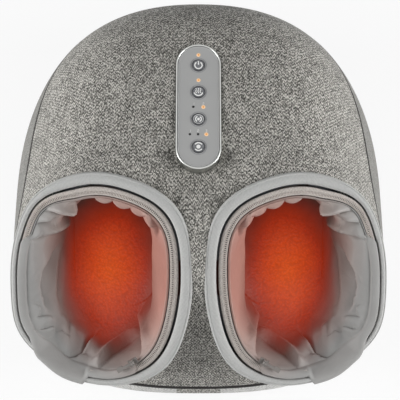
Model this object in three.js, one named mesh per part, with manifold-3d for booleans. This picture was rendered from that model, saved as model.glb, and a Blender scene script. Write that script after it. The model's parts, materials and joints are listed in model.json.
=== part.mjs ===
// A shiatsu foot massager: a cloth-covered dome with two zipped foot pockets over a kneading gear train.
// Millimetres, +Z up, +X to the right, +Y to the back. The origin is on the floor, under the middle.
import * as THREE from "three";
import { mergeVertices } from "three/addons/utils/BufferGeometryUtils.js";
import Module from "manifold-3d";

const wasm = await Module();
wasm.setup();

// Dome: its plan, its widest line and how high it stands above that line
const halfWidth = 192;
const frontReach = 197;
const rearReach = 203;
const footHeight = 4;
const beltHeight = 22;
const underTuck = 9;
const crestRise = 179;
const frontRise = 46;
const rearRise = 150;
const crestPlace = 95;
const frontFallPower = 3.2;
const taperShare = 0.02;
const sidePower = 2.75;
const frontPower = 3.2;
const rearPower = 2.75;
const climbShares = [0.12, 0.28, 0.47, 0.68, 0.88];
const tuckShares = [1, 0.45];
const bodySides = 28;
const cornerLean = THREE.MathUtils.degToRad(-40);
const cornerSpread = THREE.MathUtils.degToRad(30);
const drawShares = { side: 0.66, corner: 0.2, rear: 0.33, front: 0.3 };
const climbPowers = { side: 1.7, corner: 1.3, rear: 1.08, front: 1.2 };
const swellShare = 0.12;

// Seam between the upper cover and the skirt
const seamFront = 36;
const seamRear = 112;
const seamPower = 0.8;
const seamHalf = 1.4;
const seamProud = 1;
const seamSink = 1.2;
const seamGap = 0.6;
const seamSteps = 8;

// Walls and fits
const fabricWall = 1.8;
const shellWall = 3;
const fitGap = 0.3;
const layerGap = 0.35;
const runGap = 0.3;
const overrun = 60;
const skirtLift = 8;

// Cuff: an oval collar in a tilted plane, one for each foot
const cuffMargin = 12;
const cuffHalfGap = 6;
const cuffAside = (halfWidth - cuffMargin + cuffHalfGap) / 2;
const cuffSetback = 82.5;
const cuffFront = frontReach - cuffSetback;
const cuffHeight = 135;
const cuffTilt = THREE.MathUtils.degToRad(34.4);
const cuffRoll = THREE.MathUtils.degToRad(9);
const cuffTurn = THREE.MathUtils.degToRad(2);
const cuffHalfWidth = (halfWidth - cuffMargin - cuffHalfGap) / 2;
const cuffHalfLength = 104.5;
const bandWidth = 13;
const bandCrown = 3;
const cuffSeat = 6;
const collarWall = 3;
const collarDepth = 64;
const collarFlareShare = 0.36;
const holeInset = 10;
const holeDepth = 70;
const cuffSides = 28;

// Zip round the inside of the cuff
const tapeWidth = 7.6;
const tapeWall = 1.6;
const sliderLength = 9;
const sliderWidth = 6;
const sliderHeight = 3;
const pullLength = 16;
const pullWidth = 5;
const pullWall = 1.4;
const pullEyeRadius = 1.2;
const zipEndAngle = THREE.MathUtils.degToRad(-114);
const zipStep = THREE.MathUtils.degToRad(0.5);

// Sleeve: a boot-shaped cloth lining
const sleeveWall = 2;
const soleLift = 58;
const heelMargin = 31;
const heelReach = frontReach - heelMargin;
const toeSetback = 99;
const toeReach = rearReach - toeSetback;
const toeRise = 40;
const instepPlace = 24;
const instepHeight = 143;
const soleMargin = 31;
const toeMargin = 43;
const soleHalfWidth = cuffHalfWidth - soleMargin;
const toeHalfWidth = cuffHalfWidth - toeMargin;
const toeCap = 10;
const roofPower = 2.5;
const innerPower = 2.8;
const outerPower = 1.8;
const heelRound = 14;
const squareShare = 0.3;
const taperStartShare = 0.6;
const toeCapShares = [0.62, 0.75];
const sectionShares = [0, 0.08, 0.19, 0.31, 0.41, 0.51, 0.61, 0.71, 0.81, 0.91, 1];
const gatherDepth = 4;
const gatherCount = 8;
const gatherLean = 0.35;
const gatherBaseShare = 0.3;
const foldDepth = 7;
const foldStarts = [-1.05, -0.62, -0.2];
const foldLean = 1.5;
const foldLeanStep = 0.3;
const foldSpread = 0.16;
const foldInShare = 0.06;
const foldOutShare = 0.42;
const foldFadeShare = 0.3;
const bulgeRise = 6;

// Sole panel and air bags, laid on the sleeve
const soleWall = 1.6;
const soleArcShares = [-0.357, -0.143];
const soleSpanShares = [0.31, 0.91];
const bagCrown = 12;
const bagRim = 2;
const edgeShare = 4;
const bagSpanShares = [0.51, 0.81];
const instepArcShares = [0.143, 0.357];
const sideCrown = 8;
const sideArcShares = [-0.071, 0.036];

// Gears: teeth of one module; the centre gear drives the four heads
const centreTeeth = 32;
const headTeeth = 24;
const kneadOffset = 5.5;
const kneadX = cuffAside - kneadOffset;
const gearModule = (2 * kneadX) / (centreTeeth + headTeeth);
const kneadPitch = gearModule * headTeeth;
const kneadMargin = 90;
const frontKneadPlace = kneadMargin - frontReach;
const trainPlace = frontKneadPlace + kneadPitch;
const pinionTeeth = 10;
const toothTipShare = 0.19;
const toothFootShare = 0.502;
const addendumShare = 0.78;
const dedendumShare = 1.1;
const gearThick = 8;
const gearLift = 2;
const collarRadius = 8;
const spindleFoot = 5;
const spindleRadius = 6;
const pinionSpindle = 3;
const centrePin = 4;

// Gear case
const caseStand = 7;
const plateWall = 3;
const caseRim = 2;
const caseMargin = 1.5;
const coverGap = 2;
const standRadius = 5;
const caseCorner = 10;

// Kneading heads
const discGap = 2;
const discThick = 6;
const discInset = 3.5;
const discRadius = kneadPitch / 2 - discInset;
const nodeRadius = 10;
const nodeRise = 14;
const nodeInset = 12;
const nodePlace = discRadius - nodeInset;
const nodeCount = 3;
const pumpStand = 2;
const hubRadius = 10;
const hubRise = 6;
const discRound = 2;

// Motor
const motorRadius = 18.5;
const motorHeight = 58;
const motorRound = 2;
const motorBoss = 6;

// Pump, valve block, main board and inlet, behind the toes
const baySetback = 55;
const rearBay = rearReach - baySetback;
const pumpRadius = 17;
const pumpScrewGap = 11;
const nozzleRadius = 3;
const nozzleLength = 6;
const hoseRadius = 3;
const pumpHoseLength = 12;
const valveWidth = 30;
const valveDepth = 24;
const valveHeight = 26;
const valveNozzleAside = 8;
const boardMargin = 3;
const boardDepth = 36;
const boardWall = 1.6;
const chipHeight = 3;
const jackRadius = 5.5;
const jackBore = 2.9;
const jackPin = 0.9;
const jackHeight = 36;
const jackLength = 18;
const jackBlock = 13;

// Panel with four buttons
const panelLength = 128.5;
const panelSetback = 87.5;
const panelPlace = panelLength / 2 + panelSetback - cuffFront;
const panelWidth = 43;
const panelTop = 202;
const bezelWall = 2;
const bezelDepth = 22;
const plateThick = 2.4;
const plateSink = 0.8;
const ledgeWidth = 2.5;
const ledgeThick = 2;
const keyBoardDrop = 9;
const buttonRadius = 6.2;
const buttonTravel = 0.8;
const buttonProud = 0.9;
const buttonSkirt = 1.2;
const stemRadius = 2.5;
const keyHeight = 3.4;
const keyWidth = 6;
const buttonPitch = 28;
const buttonNames = ["power_button", "heat_button", "kneading_button", "pressure_button"];
const panelSides = 7;

// Feet and screws
const rubberRadius = 10;
const plugRadius = 3;
const plugRise = 4;
const frontFootInset = 65;
const frontFootSetback = 75;
const rearFootInset = 98;
const rearFootSetback = 53;
const sideScrewInset = 30;
const sideScrewPlace = -14;
const rearScrewInset = 72;
const rearScrewSetback = 71;
const frontScrewSetback = 25;
const screwHeadRadius = 3.6;
const screwHeadHeight = 3;
const screwRadius = 1.8;
const screwLength = 24;
const bossRadius = 6;
const postRadius = 4.6;
const bossTop = 18;
const postEmbed = 1.5;
const frontFootAside = halfWidth - frontFootInset;
const rearFootAside = halfWidth - rearFootInset;
const sideScrewAside = halfWidth - sideScrewInset;
const rearScrewAside = halfWidth - rearScrewInset;
const footPlaces = [
  [-frontFootAside, frontFootSetback - frontReach],
  [frontFootAside, frontFootSetback - frontReach],
  [-rearFootAside, rearReach - rearFootSetback],
  [rearFootAside, rearReach - rearFootSetback],
];
const screwPlaces = [
  [-rearScrewAside, rearReach - rearScrewSetback],
  [rearScrewAside, rearReach - rearScrewSetback],
  [-sideScrewAside, sideScrewPlace],
  [sideScrewAside, sideScrewPlace],
  [0, frontScrewSetback - frontReach],
];

// The pump and the main board lie between the valve block and the rear screws
const pumpStart = valveWidth / 2 + 2 * nozzleLength + pumpHoseLength;
const pumpEnd = rearScrewAside - bossRadius - pumpScrewGap;
const pumpLength = pumpEnd - pumpStart;
const pumpAside = (pumpStart + pumpEnd) / 2;
const boardWidth = pumpLength - 2 * boardMargin;
const chipWidth = boardWidth / 4;

const turn = 2 * Math.PI;
const mergeTolerance = 1e-4;
const floorTop = footHeight + shellWall;
const caseFloor = floorTop + caseStand;
const caseTop = caseFloor + plateWall;
const gearBottom = caseTop + gearLift;
const gearTop = gearBottom + gearThick;
const coverBottom = gearTop + coverGap;
const coverTop = coverBottom + plateWall;
const discBottom = coverTop + discGap;
const discTop = discBottom + discThick;

// Colours and finishes
const finishes = {
  heather: { color: 0x8f8d89, roughness: 0.95, metalness: 0 },
  skirtCloth: { color: 0x7c7d7a, roughness: 0.95, metalness: 0 },
  piping: { color: 0x6a6764, roughness: 0.8, metalness: 0 },
  cuffCloth: { color: 0xa9a8a5, roughness: 0.85, metalness: 0 },
  zipTape: { color: 0xa39a93, roughness: 0.8, metalness: 0 },
  zipMetal: { color: 0x8c8c8e, roughness: 0.35, metalness: 1 },
  sleeveCloth: { color: 0x8e8e8c, roughness: 0.8, metalness: 0 },
  solePanel: { color: 0xc1471c, roughness: 0.6, metalness: 0 },
  shellPlastic: { color: 0x55565a, roughness: 0.6, metalness: 0 },
  rubber: { color: 0x1d1d1f, roughness: 0.9, metalness: 0 },
  steel: { color: 0x9a9ca0, roughness: 0.35, metalness: 1 },
  chrome: { color: 0xd6d8da, roughness: 0.12, metalness: 1 },
  fascia: { color: 0x979899, roughness: 0.4, metalness: 0 },
  buttonPlastic: { color: 0x6d6f72, roughness: 0.35, metalness: 0 },
  acetal: { color: 0xe4e1d8, roughness: 0.5, metalness: 0 },
  headPlastic: { color: 0x3c3e44, roughness: 0.5, metalness: 0 },
  board: { color: 0x1f5a38, roughness: 0.6, metalness: 0 },
  bagFilm: { color: 0x35363a, roughness: 0.5, metalness: 0 },
  hoseRubber: { color: 0xc9c9c4, roughness: 0.6, metalness: 0 },
};

function material(finish) {
  return new THREE.MeshStandardMaterial(finishes[finish]);
}

// Solids and surfaces
function solidOf(geometry) {
  const bare = geometry.clone();
  bare.deleteAttribute("normal");
  bare.deleteAttribute("uv");
  const merged = mergeVertices(bare, mergeTolerance);
  return new wasm.Manifold(new wasm.Mesh({
    numProp: 3,
    vertProperties: new Float32Array(merged.attributes.position.array),
    triVerts: new Uint32Array(merged.index.array),
  }));
}

function geometryOf(solid) {
  const mesh = solid.getMesh();
  const count = mesh.vertProperties.length / mesh.numProp;
  const places = new Float32Array(3 * count);
  for (let i = 0; i < count; i++) {
    for (let k = 0; k < 3; k++) places[3 * i + k] = mesh.vertProperties[mesh.numProp * i + k];
  }
  const geometry = new THREE.BufferGeometry();
  geometry.setAttribute("position", new THREE.BufferAttribute(places, 3));
  geometry.setIndex(new THREE.BufferAttribute(new Uint32Array(mesh.triVerts), 1));
  geometry.computeVertexNormals();
  return geometry;
}

function join(first, ...rest) {
  return rest.reduce((solid, other) => solid.add(other), first);
}

function cut(first, ...rest) {
  return rest.reduce((solid, other) => solid.subtract(other), first);
}

// The largest body of a cut, which drops slivers
function largest(solid) {
  return solid.decompose().reduce((best, piece) => (piece.volume() > best.volume() ? piece : best));
}

// The same surface with its faces turned round
function flipped(geometry) {
  const copy = geometry.index ? geometry.toNonIndexed() : geometry.clone();
  copy.deleteAttribute("normal");
  copy.deleteAttribute("uv");
  const places = copy.attributes.position;
  const held = new THREE.Vector3();
  const other = new THREE.Vector3();
  for (let i = 0; i < places.count; i += 3) {
    held.fromBufferAttribute(places, i + 1);
    other.fromBufferAttribute(places, i + 2);
    places.setXYZ(i + 1, other.x, other.y, other.z);
    places.setXYZ(i + 2, held.x, held.y, held.z);
  }
  return copy;
}

function mirrored(geometry) {
  return flipped(geometry).scale(-1, 1, 1);
}

// The two triangles of a four-cornered face, split along its shorter diagonal
function quad(a, b, c, d) {
  return a.distanceTo(c) <= b.distanceTo(d) ? [a, b, c, a, c, d] : [a, b, d, b, c, d];
}

// A closed skin over rings of points. Each ring has as many points as the next, and a ring of one point
// is a pole. With looped, the last ring joins the first one, as on a tyre.
function skin(rings, looped = false) {
  const places = [];
  const push = (...points) => points.forEach((p) => places.push(p.x, p.y, p.z));
  const last = looped ? rings.length : rings.length - 1;
  for (let row = 0; row < last; row++) {
    const low = rings[row];
    const high = rings[(row + 1) % rings.length];
    const count = Math.max(low.length, high.length);
    for (let i = 0; i < count; i++) {
      const j = (i + 1) % count;
      if (low.length === 1) push(low[0], high[j], high[i]);
      else if (high.length === 1) push(low[i], low[j], high[0]);
      else push(...quad(low[i], low[j], high[j], high[i]));
    }
  }
  const geometry = new THREE.BufferGeometry();
  geometry.setAttribute("position", new THREE.Float32BufferAttribute(places, 3));
  return geometry;
}

// A skin whose two ends are closed by flat fans about their middles
function capped(rings) {
  const total = (ring) => ring.reduce((sum, p) => sum.add(p), new THREE.Vector3());
  const middle = (ring) => total(ring).divideScalar(ring.length);
  return skin([[middle(rings[0])], ...rings, [middle(rings[rings.length - 1])]]);
}

function lathe(profile, sides) {
  const points = profile.map(([radius, height]) => new THREE.Vector2(radius, height));
  return new THREE.LatheGeometry(points, sides).rotateX(Math.PI / 2);
}

function cylinder(radius, bottom, top, x = 0, y = 0, sides = 16) {
  const geometry = lathe([[0, bottom], [radius, bottom], [radius, top], [0, top]], sides);
  return geometry.translate(x, y, 0);
}

function box(width, depth, bottom, top, x = 0, y = 0) {
  const geometry = new THREE.BoxGeometry(width, depth, top - bottom);
  return geometry.translate(x, y, (bottom + top) / 2);
}

function extruded(shape, bottom, top) {
  const depth = top - bottom;
  const geometry = new THREE.ExtrudeGeometry(shape, { depth, bevelEnabled: false, curveSegments: 8 });
  return geometry.translate(0, 0, bottom);
}

function clampShare(share) {
  return Math.min(1, Math.max(0, share));
}

function smoothShare(share) {
  const held = clampShare(share);
  return held * held * (3 - 2 * held);
}

function mix(from, to, share) {
  return from + (to - from) * share;
}

// Dome surface
function cornerShare(angle) {
  const lean = Math.atan2(Math.sin(angle), Math.abs(Math.cos(angle)));
  return Math.exp(-(((lean - cornerLean) / cornerSpread) ** 2));
}

// The side's value, drawn towards those of the corner, the rear and the front
function blended(table, angle) {
  const corner = cornerShare(angle);
  const rear = clampShare(Math.sin(angle)) ** 2;
  const front = clampShare(-Math.sin(angle)) ** 4 * (1 - corner);
  const { side } = table;
  return side + (table.corner - side) * corner + (table.rear - side) * rear + (table.front - side) * front;
}

function outlinePoint(angle, inset) {
  const c = Math.cos(angle);
  const s = Math.sin(angle);
  const reach = s > 0 ? rearReach : frontReach;
  const power = s > 0 ? rearPower : frontPower;
  const spread = Math.abs(c) ** sidePower + Math.abs(s) ** power;
  const x = ((halfWidth - inset) * c) / spread ** (1 / sidePower);
  const y = ((reach - inset) * s) / spread ** (1 / power);
  return [x * (1 - (taperShare * y) / reach), y];
}

function riseAt(y, inset) {
  const front = clampShare((crestPlace - y) / (crestPlace + frontReach));
  const rear = clampShare((y - crestPlace) / (rearReach - crestPlace));
  const fall = (crestRise - frontRise) * front ** frontFallPower + (crestRise - rearRise) * rear ** 2;
  return crestRise - inset - fall;
}

function domePoint(angle, share, inset) {
  const [x, y] = outlinePoint(angle, inset);
  const lift = Math.sin((share * Math.PI) / 2) ** blended(climbPowers, angle);
  const swell = 1 + swellShare * cornerShare(angle) * lift * lift;
  const reach = swell * Math.cos((share * Math.PI) / 2) ** blended(drawShares, angle);
  return new THREE.Vector3(x * reach, y * reach, beltHeight + riseAt(y * reach, inset) * lift);
}

// The whole body as one solid, drawn in by inset, with its flat underside at the given height
function bodySolid(inset, underside) {
  const angles = Array.from({ length: bodySides }, (_, i) => (turn * i) / bodySides);
  const below = tuckShares.map((share) => {
    const tuck = underTuck * (1 - Math.cos((share * Math.PI) / 2)) + inset;
    const height = beltHeight - (beltHeight - underside) * Math.sin((share * Math.PI) / 2);
    return angles.map((angle) => {
      const [x, y] = outlinePoint(angle, tuck);
      return new THREE.Vector3(x, y, height);
    });
  });
  const above = [0, ...climbShares].map((share) => angles.map((angle) => domePoint(angle, share, inset)));
  const top = [new THREE.Vector3(0, 0, beltHeight + riseAt(0, inset))];
  const bottom = [new THREE.Vector3(0, 0, underside)];
  return solidOf(skin([bottom, ...below, ...above, top]));
}

function seamHeight(y) {
  const along = clampShare((y + frontReach) / (frontReach + rearReach));
  return seamFront + (seamRear - seamFront) * along ** seamPower;
}

// Everything under the seam, moved up or down by shift
function underSeam(shift) {
  const shape = new THREE.Shape();
  shape.moveTo(-frontReach - overrun, -overrun);
  shape.lineTo(rearReach + overrun, -overrun);
  shape.lineTo(rearReach + overrun, seamHeight(rearReach) + shift);
  for (let i = seamSteps; i >= 0; i--) {
    const y = mix(-frontReach, rearReach, (i / seamSteps) ** 2);
    shape.lineTo(y, seamHeight(y) + shift);
  }
  shape.lineTo(-frontReach - overrun, seamHeight(-frontReach) + shift);
  shape.closePath();
  const geometry = extruded(shape, -halfWidth - overrun, halfWidth + overrun);
  const placing = new THREE.Matrix4().makeBasis(
    new THREE.Vector3(0, 1, 0),
    new THREE.Vector3(0, 0, 1),
    new THREE.Vector3(1, 0, 0),
  );
  return solidOf(geometry.applyMatrix4(placing));
}

// Cuff plane, for the right foot; the left foot is its mirror image
const cuffCentre = new THREE.Vector3(cuffAside, -cuffFront, cuffHeight);
const slope = new THREE.Vector3(0, Math.cos(cuffTilt), Math.sin(cuffTilt));
const flatAcross = new THREE.Vector3(1, 0, 0);
const rawNormal = flatAcross.clone().cross(slope);
const rolledAcross = flatAcross
  .clone()
  .multiplyScalar(Math.cos(cuffRoll))
  .addScaledVector(rawNormal, -Math.sin(cuffRoll));
const cuffNormal = rolledAcross.clone().cross(slope).normalize();
const cuffAcross = rolledAcross
  .clone()
  .multiplyScalar(Math.cos(cuffTurn))
  .addScaledVector(slope, -Math.sin(cuffTurn));
const cuffAlong = cuffNormal.clone().cross(cuffAcross).normalize();

function cuffPoint(angle, inset, height) {
  return cuffCentre
    .clone()
    .addScaledVector(cuffAcross, (cuffHalfWidth - inset) * Math.cos(angle))
    .addScaledVector(cuffAlong, (cuffHalfLength - inset) * Math.sin(angle))
    .addScaledVector(cuffNormal, height);
}

function cuffRing(inset, height) {
  return Array.from({ length: cuffSides }, (_, i) => cuffPoint((turn * i) / cuffSides, inset, height));
}

// A ring round the cuff plane from a closed profile of [inset, height] points
function cuffBand(profile) {
  return skin([...profile].reverse().map(([inset, height]) => cuffRing(inset, height)), true);
}

function cuffPlug(profile) {
  return capped(profile.map(([inset, height]) => cuffRing(inset, height)));
}

// Body shells and covers
const bodyInset = fabricWall + layerGap;
const seatPlug = cuffPlug([[-fitGap, -cuffSeat], [-fitGap, overrun]]);
const holePlug = cuffPlug([
  [holeInset + collarFlareShare * holeDepth, -holeDepth],
  [holeInset, fitGap],
]);
const cuffCuts = [seatPlug, holePlug].flatMap((plug) => [solidOf(plug), solidOf(mirrored(plug))]);

function stadium(length, width) {
  const shape = new THREE.Shape();
  const radius = width / 2;
  const straight = length / 2 - radius;
  for (const [side, start] of [[1, 0], [-1, Math.PI]]) {
    for (let i = 0; i <= panelSides; i++) {
      const angle = start + (Math.PI * i) / panelSides;
      const x = radius * Math.cos(angle);
      const y = side * straight + radius * Math.sin(angle);
      if (side === 1 && i === 0) shape.moveTo(x, y);
      else shape.lineTo(x, y);
    }
  }
  shape.closePath();
  return shape;
}

const panelCut = solidOf(
  extruded(
    stadium(panelLength + 2 * fitGap, panelWidth + 2 * fitGap),
    panelTop - overrun,
    panelTop + overrun,
  ).translate(0, panelPlace, 0),
);
const jackHole = solidOf(
  cylinder(jackRadius + fitGap, 0, 2 * overrun)
    .rotateX(-Math.PI / 2)
    .translate(0, rearReach - overrun, jackHeight),
);

function makeUpperFabric() {
  const skinSolid = cut(bodySolid(0, footHeight), bodySolid(fabricWall, footHeight + fabricWall));
  return largest(cut(skinSolid, underSeam(seamHalf + seamGap), panelCut, ...cuffCuts));
}

function makeSkirt() {
  const skinSolid = cut(bodySolid(0, footHeight), bodySolid(fabricWall, footHeight));
  const kept = skinSolid.intersect(underSeam(-seamHalf - seamGap));
  const floorCut = solidOf(box(4 * halfWidth, 4 * rearReach, -overrun, skirtLift));
  return largest(cut(kept, floorCut, jackHole));
}

// A point on the dome at the seam's height, moved up by shift
function seamPoint(angle, shift, inset) {
  let low = 0;
  let high = 1;
  for (let i = 0; i < 30; i++) {
    const middle = (low + high) / 2;
    const point = domePoint(angle, middle, inset);
    if (point.z < seamHeight(point.y) + shift) low = middle;
    else high = middle;
  }
  return domePoint(angle, low, inset);
}

function makeSeamStrip() {
  const corners = [
    [-seamHalf, seamSink],
    [seamHalf, seamSink],
    [seamHalf, -seamProud],
    [-seamHalf, -seamProud],
  ];
  const rings = corners.map(([shift, inset]) =>
    Array.from({ length: bodySides }, (_, i) => seamPoint((turn * i) / bodySides, shift, inset)));
  return skin(rings.reverse(), true);
}

function makeUpperShell() {
  const outer = bodySolid(bodyInset, footHeight);
  const inner = bodySolid(bodyInset + shellWall, footHeight + shellWall);
  const wall = cut(outer, inner, underSeam(fitGap / 2));
  const inWall = bodySolid(bodyInset + postEmbed, footHeight);
  const posts = screwPlaces.map(([x, y]) =>
    solidOf(cylinder(postRadius, bossTop + fitGap, crestRise + beltHeight, x, y, 8)).intersect(inWall));
  const pilots = screwPlaces.map(([x, y]) =>
    solidOf(cylinder(screwRadius + runGap, 0, screwTop + fitGap, x, y, 6)));
  return largest(cut(join(wall, ...posts), panelCut, ...cuffCuts, ...pilots));
}

function makeLowerShell() {
  const outer = bodySolid(bodyInset, footHeight);
  const inner = bodySolid(bodyInset + shellWall, footHeight + shellWall);
  const wall = cut(outer, inner).intersect(underSeam(-fitGap / 2));
  const floorIn = floorTop - postEmbed;
  const bosses = screwPlaces.map(([x, y]) => solidOf(cylinder(bossRadius, floorIn, bossTop, x, y, 8)));
  const stands = standPlaces().map(([x, y]) =>
    solidOf(cylinder(standRadius, floorIn, caseFloor - fitGap, x, y, 8)));
  const rib = (depth, top, x) => solidOf(box(standRadius, depth, floorIn, top - fitGap, x, rearBay));
  const shelves = [-1, 1].map((side) =>
    rib(boardDepth / 2, boardBottom, pumpAside + (side * boardWidth) / 3));
  const cradles = [-1, 1].map((side) =>
    rib(pumpRadius, pumpBottom, -pumpAside + (side * pumpLength) / 3));
  const valveSeat = solidOf(
    box(valveWidth / 2, valveDepth / 2, floorIn, valveBottom - fitGap, 0, rearBay),
  );
  const shafts = screwPlaces.map(([x, y]) => solidOf(cylinder(screwRadius + runGap, 0, overrun, x, y, 6)));
  const sinks = screwPlaces.map(([x, y]) =>
    solidOf(cylinder(screwHeadRadius + runGap, 0, screwSeat, x, y, 8)));
  const plugs = footPlaces.map(([x, y]) => solidOf(cylinder(plugRadius + fitGap, 0, overrun, x, y, 8)));
  const body = join(wall, ...bosses, ...stands, ...shelves, ...cradles, valveSeat);
  return largest(cut(body, jackHole, ...shafts, ...sinks, ...plugs));
}

// Screw: pan head up from below, shank into the upper shell's post
const screwSeat = floorTop + screwHeadHeight + fitGap;
const screwTop = screwSeat + screwLength;

function makeScrew(x, y) {
  const head = screwSeat - fitGap;
  const profile = [
    [0, head - screwHeadHeight],
    [screwHeadRadius, head - screwHeadHeight],
    [screwHeadRadius, head],
    [screwRadius, head],
    [screwRadius, screwTop],
    [0, screwTop],
  ];
  return lathe(profile, 6).translate(x, y, 0);
}

function makeFoot() {
  const rim = footHeight - fitGap;
  const profile = [
    [0, 0],
    [rubberRadius, 0],
    [rubberRadius, rim],
    [plugRadius, rim],
    [plugRadius, rim + plugRise],
    [0, rim + plugRise],
  ];
  return lathe(profile, 8);
}

// Cuff, zip and puller
const domeOutside = bodySolid(-fitGap, footHeight - fitGap);

function makeCuff() {
  const seat = -cuffSeat + fitGap;
  const band = solidOf(cuffBand([
    [0, seat],
    [bandWidth, seat],
    [bandWidth, 0],
    [bandWidth * 0.6, bandCrown],
    [0, 0],
  ]));
  const foot = collarFlareShare * collarDepth;
  const collar = solidOf(cuffBand([
    [0, seat + fitGap],
    [foot, -collarDepth],
    [foot + collarWall, -collarDepth],
    [collarWall, seat + fitGap],
  ]));
  return largest(join(band, largest(cut(collar, domeOutside))));
}

const tapeStart = bandWidth + fitGap;
const tapeEnd = tapeStart + tapeWidth;

function makeZipTape() {
  return cuffBand([[tapeStart, -tapeWall], [tapeEnd - tapeWall, -tapeWall], [tapeEnd, 0], [tapeStart, 0]]);
}

// A frame on the zip: x along the zip, y towards the middle of the opening, z up
function zipFrame() {
  const middle = (tapeStart + tapeEnd) / 2;
  const at = cuffPoint(zipEndAngle, middle, 0);
  const ahead = cuffPoint(zipEndAngle + zipStep, middle, 0).sub(at).normalize();
  const inward = cuffNormal.clone().cross(ahead).normalize();
  return new THREE.Matrix4().makeBasis(ahead, inward, cuffNormal).setPosition(at);
}

const pullHinge = sliderHeight + fitGap + pullEyeRadius * 2;

function makeSlider() {
  const base = solidOf(box(sliderLength, sliderWidth, fitGap, sliderHeight));
  const postTop = pullHinge + pullEyeRadius * 1.6;
  const posts = [-1, 1].map((side) => solidOf(
    box(pullEyeRadius * 2.4, pullWall, sliderHeight - fitGap, postTop, 0, side * sliderWidth * 0.38),
  ));
  const pinSolid = solidOf(
    cylinder(pullEyeRadius * 0.7, -sliderWidth * 0.4, sliderWidth * 0.4, 0, 0, 8)
      .rotateX(Math.PI / 2)
      .translate(0, 0, pullHinge),
  );
  return join(base, ...posts, pinSolid);
}

function makePull() {
  const ear = sliderWidth * 0.38 - pullWall / 2 - runGap;
  const eye = solidOf(
    cylinder(pullEyeRadius * 1.6, -ear, ear, 0, 0, 10)
      .rotateX(Math.PI / 2)
      .translate(0, 0, pullHinge),
  );
  const hole = solidOf(
    cylinder(pullEyeRadius * 0.7 + runGap, -overrun, overrun, 0, 0, 8)
      .rotateX(Math.PI / 2)
      .translate(0, 0, pullHinge),
  );
  const leaf = (length, width, x) =>
    solidOf(box(length, width, pullHinge - pullWall / 2, pullHinge + pullWall / 2, pullEyeRadius + x));
  const blade = leaf(pullLength, 2 * ear, pullLength / 2);
  const tip = leaf(pullLength * 0.4, pullWidth, pullLength * 0.8);
  return cut(join(eye, blade, tip), hole);
}

// Sleeve sections run from the cuff plane to the toe
const rimInset = tapeEnd + fitGap;
const rimBottom = cuffPoint(-Math.PI / 2, rimInset, 0);
const rimTop = cuffPoint(Math.PI / 2, rimInset, 0);
const kneadRows = [trainPlace, frontKneadPlace];
const bottomPath = new THREE.CatmullRomCurve3([
  rimBottom,
  new THREE.Vector3(kneadX, -heelReach, soleLift + heelRound / 2),
  new THREE.Vector3(kneadX, -heelReach + heelRound, soleLift),
  new THREE.Vector3(kneadX, -heelReach / 2, soleLift),
  new THREE.Vector3(kneadX, 0, soleLift),
  new THREE.Vector3(kneadX, toeReach, soleLift),
], false, "centripetal");
const topPath = new THREE.CatmullRomCurve3([
  rimTop,
  new THREE.Vector3(cuffAside, instepPlace, instepHeight),
  new THREE.Vector3(cuffAside, toeReach, soleLift + toeRise),
], false, "centripetal");

// How square the sleeve is at an angle: its roof and inner wall are fuller than its outer wall
function powerAt(angle) {
  const side = mix(innerPower, outerPower, smoothShare((1 + Math.cos(angle)) / 2));
  return mix(side, roofPower, smoothShare(Math.sin(angle)));
}

function sleevePoint(share, angle, out) {
  const low = bottomPath.getPointAt(share);
  const high = topPath.getPointAt(share);
  const along = high.clone().sub(low);
  const halfHeight = along.length() / 2;
  along.normalize();
  const square = smoothShare(share / squareShare);
  const across = cuffAcross.clone().lerp(flatAcross, square).normalize();
  const toe = smoothShare((share - taperStartShare) / (1 - taperStartShare));
  const halfSpan = mix(mix(cuffHalfWidth - rimInset, soleHalfWidth, square), toeHalfWidth, toe);
  const power = mix(2, powerAt(angle), square);
  const c = Math.cos(angle);
  const s = Math.sin(angle);
  const spread = (Math.abs(c) ** power + Math.abs(s) ** power) ** (1 / power);
  const reach = out - foldAt(share, angle);
  const point = low
    .clone()
    .lerp(high, 0.5)
    .addScaledVector(across, ((halfSpan + reach) * c) / spread)
    .addScaledVector(along, ((halfHeight + reach) * s) / spread);
  const under = clampShare(-s / spread) ** 2 * square;
  for (const row of kneadRows) {
    const away = ((point.x - kneadX) ** 2 + (point.y - row) ** 2) / discRadius ** 2;
    point.z += bulgeRise * Math.exp(-away) * under;
  }
  return point;
}

// Gathers under the top of the cuff, and three long folds that fall from its outer front
function foldAt(share, angle) {
  const fade = smoothShare(share / foldInShare) * smoothShare((foldOutShare - share) / foldFadeShare);
  const top = clampShare(gatherBaseShare + Math.sin(angle + gatherLean));
  const gathers = (gatherDepth * top * (1 - Math.cos(gatherCount * angle))) / 2;
  const folds = foldStarts.reduce((sum, start, i) => {
    const middle = start - share * (foldLean - foldLeanStep * i);
    const away = Math.atan2(Math.sin(angle - middle), Math.cos(angle - middle));
    return sum + foldDepth * Math.exp(-((away / foldSpread) ** 2));
  }, 0);
  return fade * (gathers + folds);
}

function sleeveRing(share, out) {
  return Array.from({ length: cuffSides }, (_, i) => sleevePoint(share, (turn * i) / cuffSides, out));
}

function toeRing(size, forward, out) {
  const centre = bottomPath.getPointAt(1).lerp(topPath.getPointAt(1), 0.5);
  return sleeveRing(1, out).map((p) => {
    const point = p.sub(centre).multiplyScalar(size).add(centre);
    point.y += forward;
    return point;
  });
}

function makeSleeve() {
  const toeMiddle = bottomPath.getPointAt(1).lerp(topPath.getPointAt(1), 0.5);
  const layer = (out, cap) => [
    ...sectionShares.map((share) => sleeveRing(share, out)),
    toeRing(toeCapShares[0], cap * toeCapShares[1], out),
    [toeMiddle.clone().setY(toeMiddle.y + cap)],
  ];
  const outer = layer(0, toeCap).reverse();
  const inner = layer(-sleeveWall, toeCap - sleeveWall);
  return skin([...outer, ...inner]);
}

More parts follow.
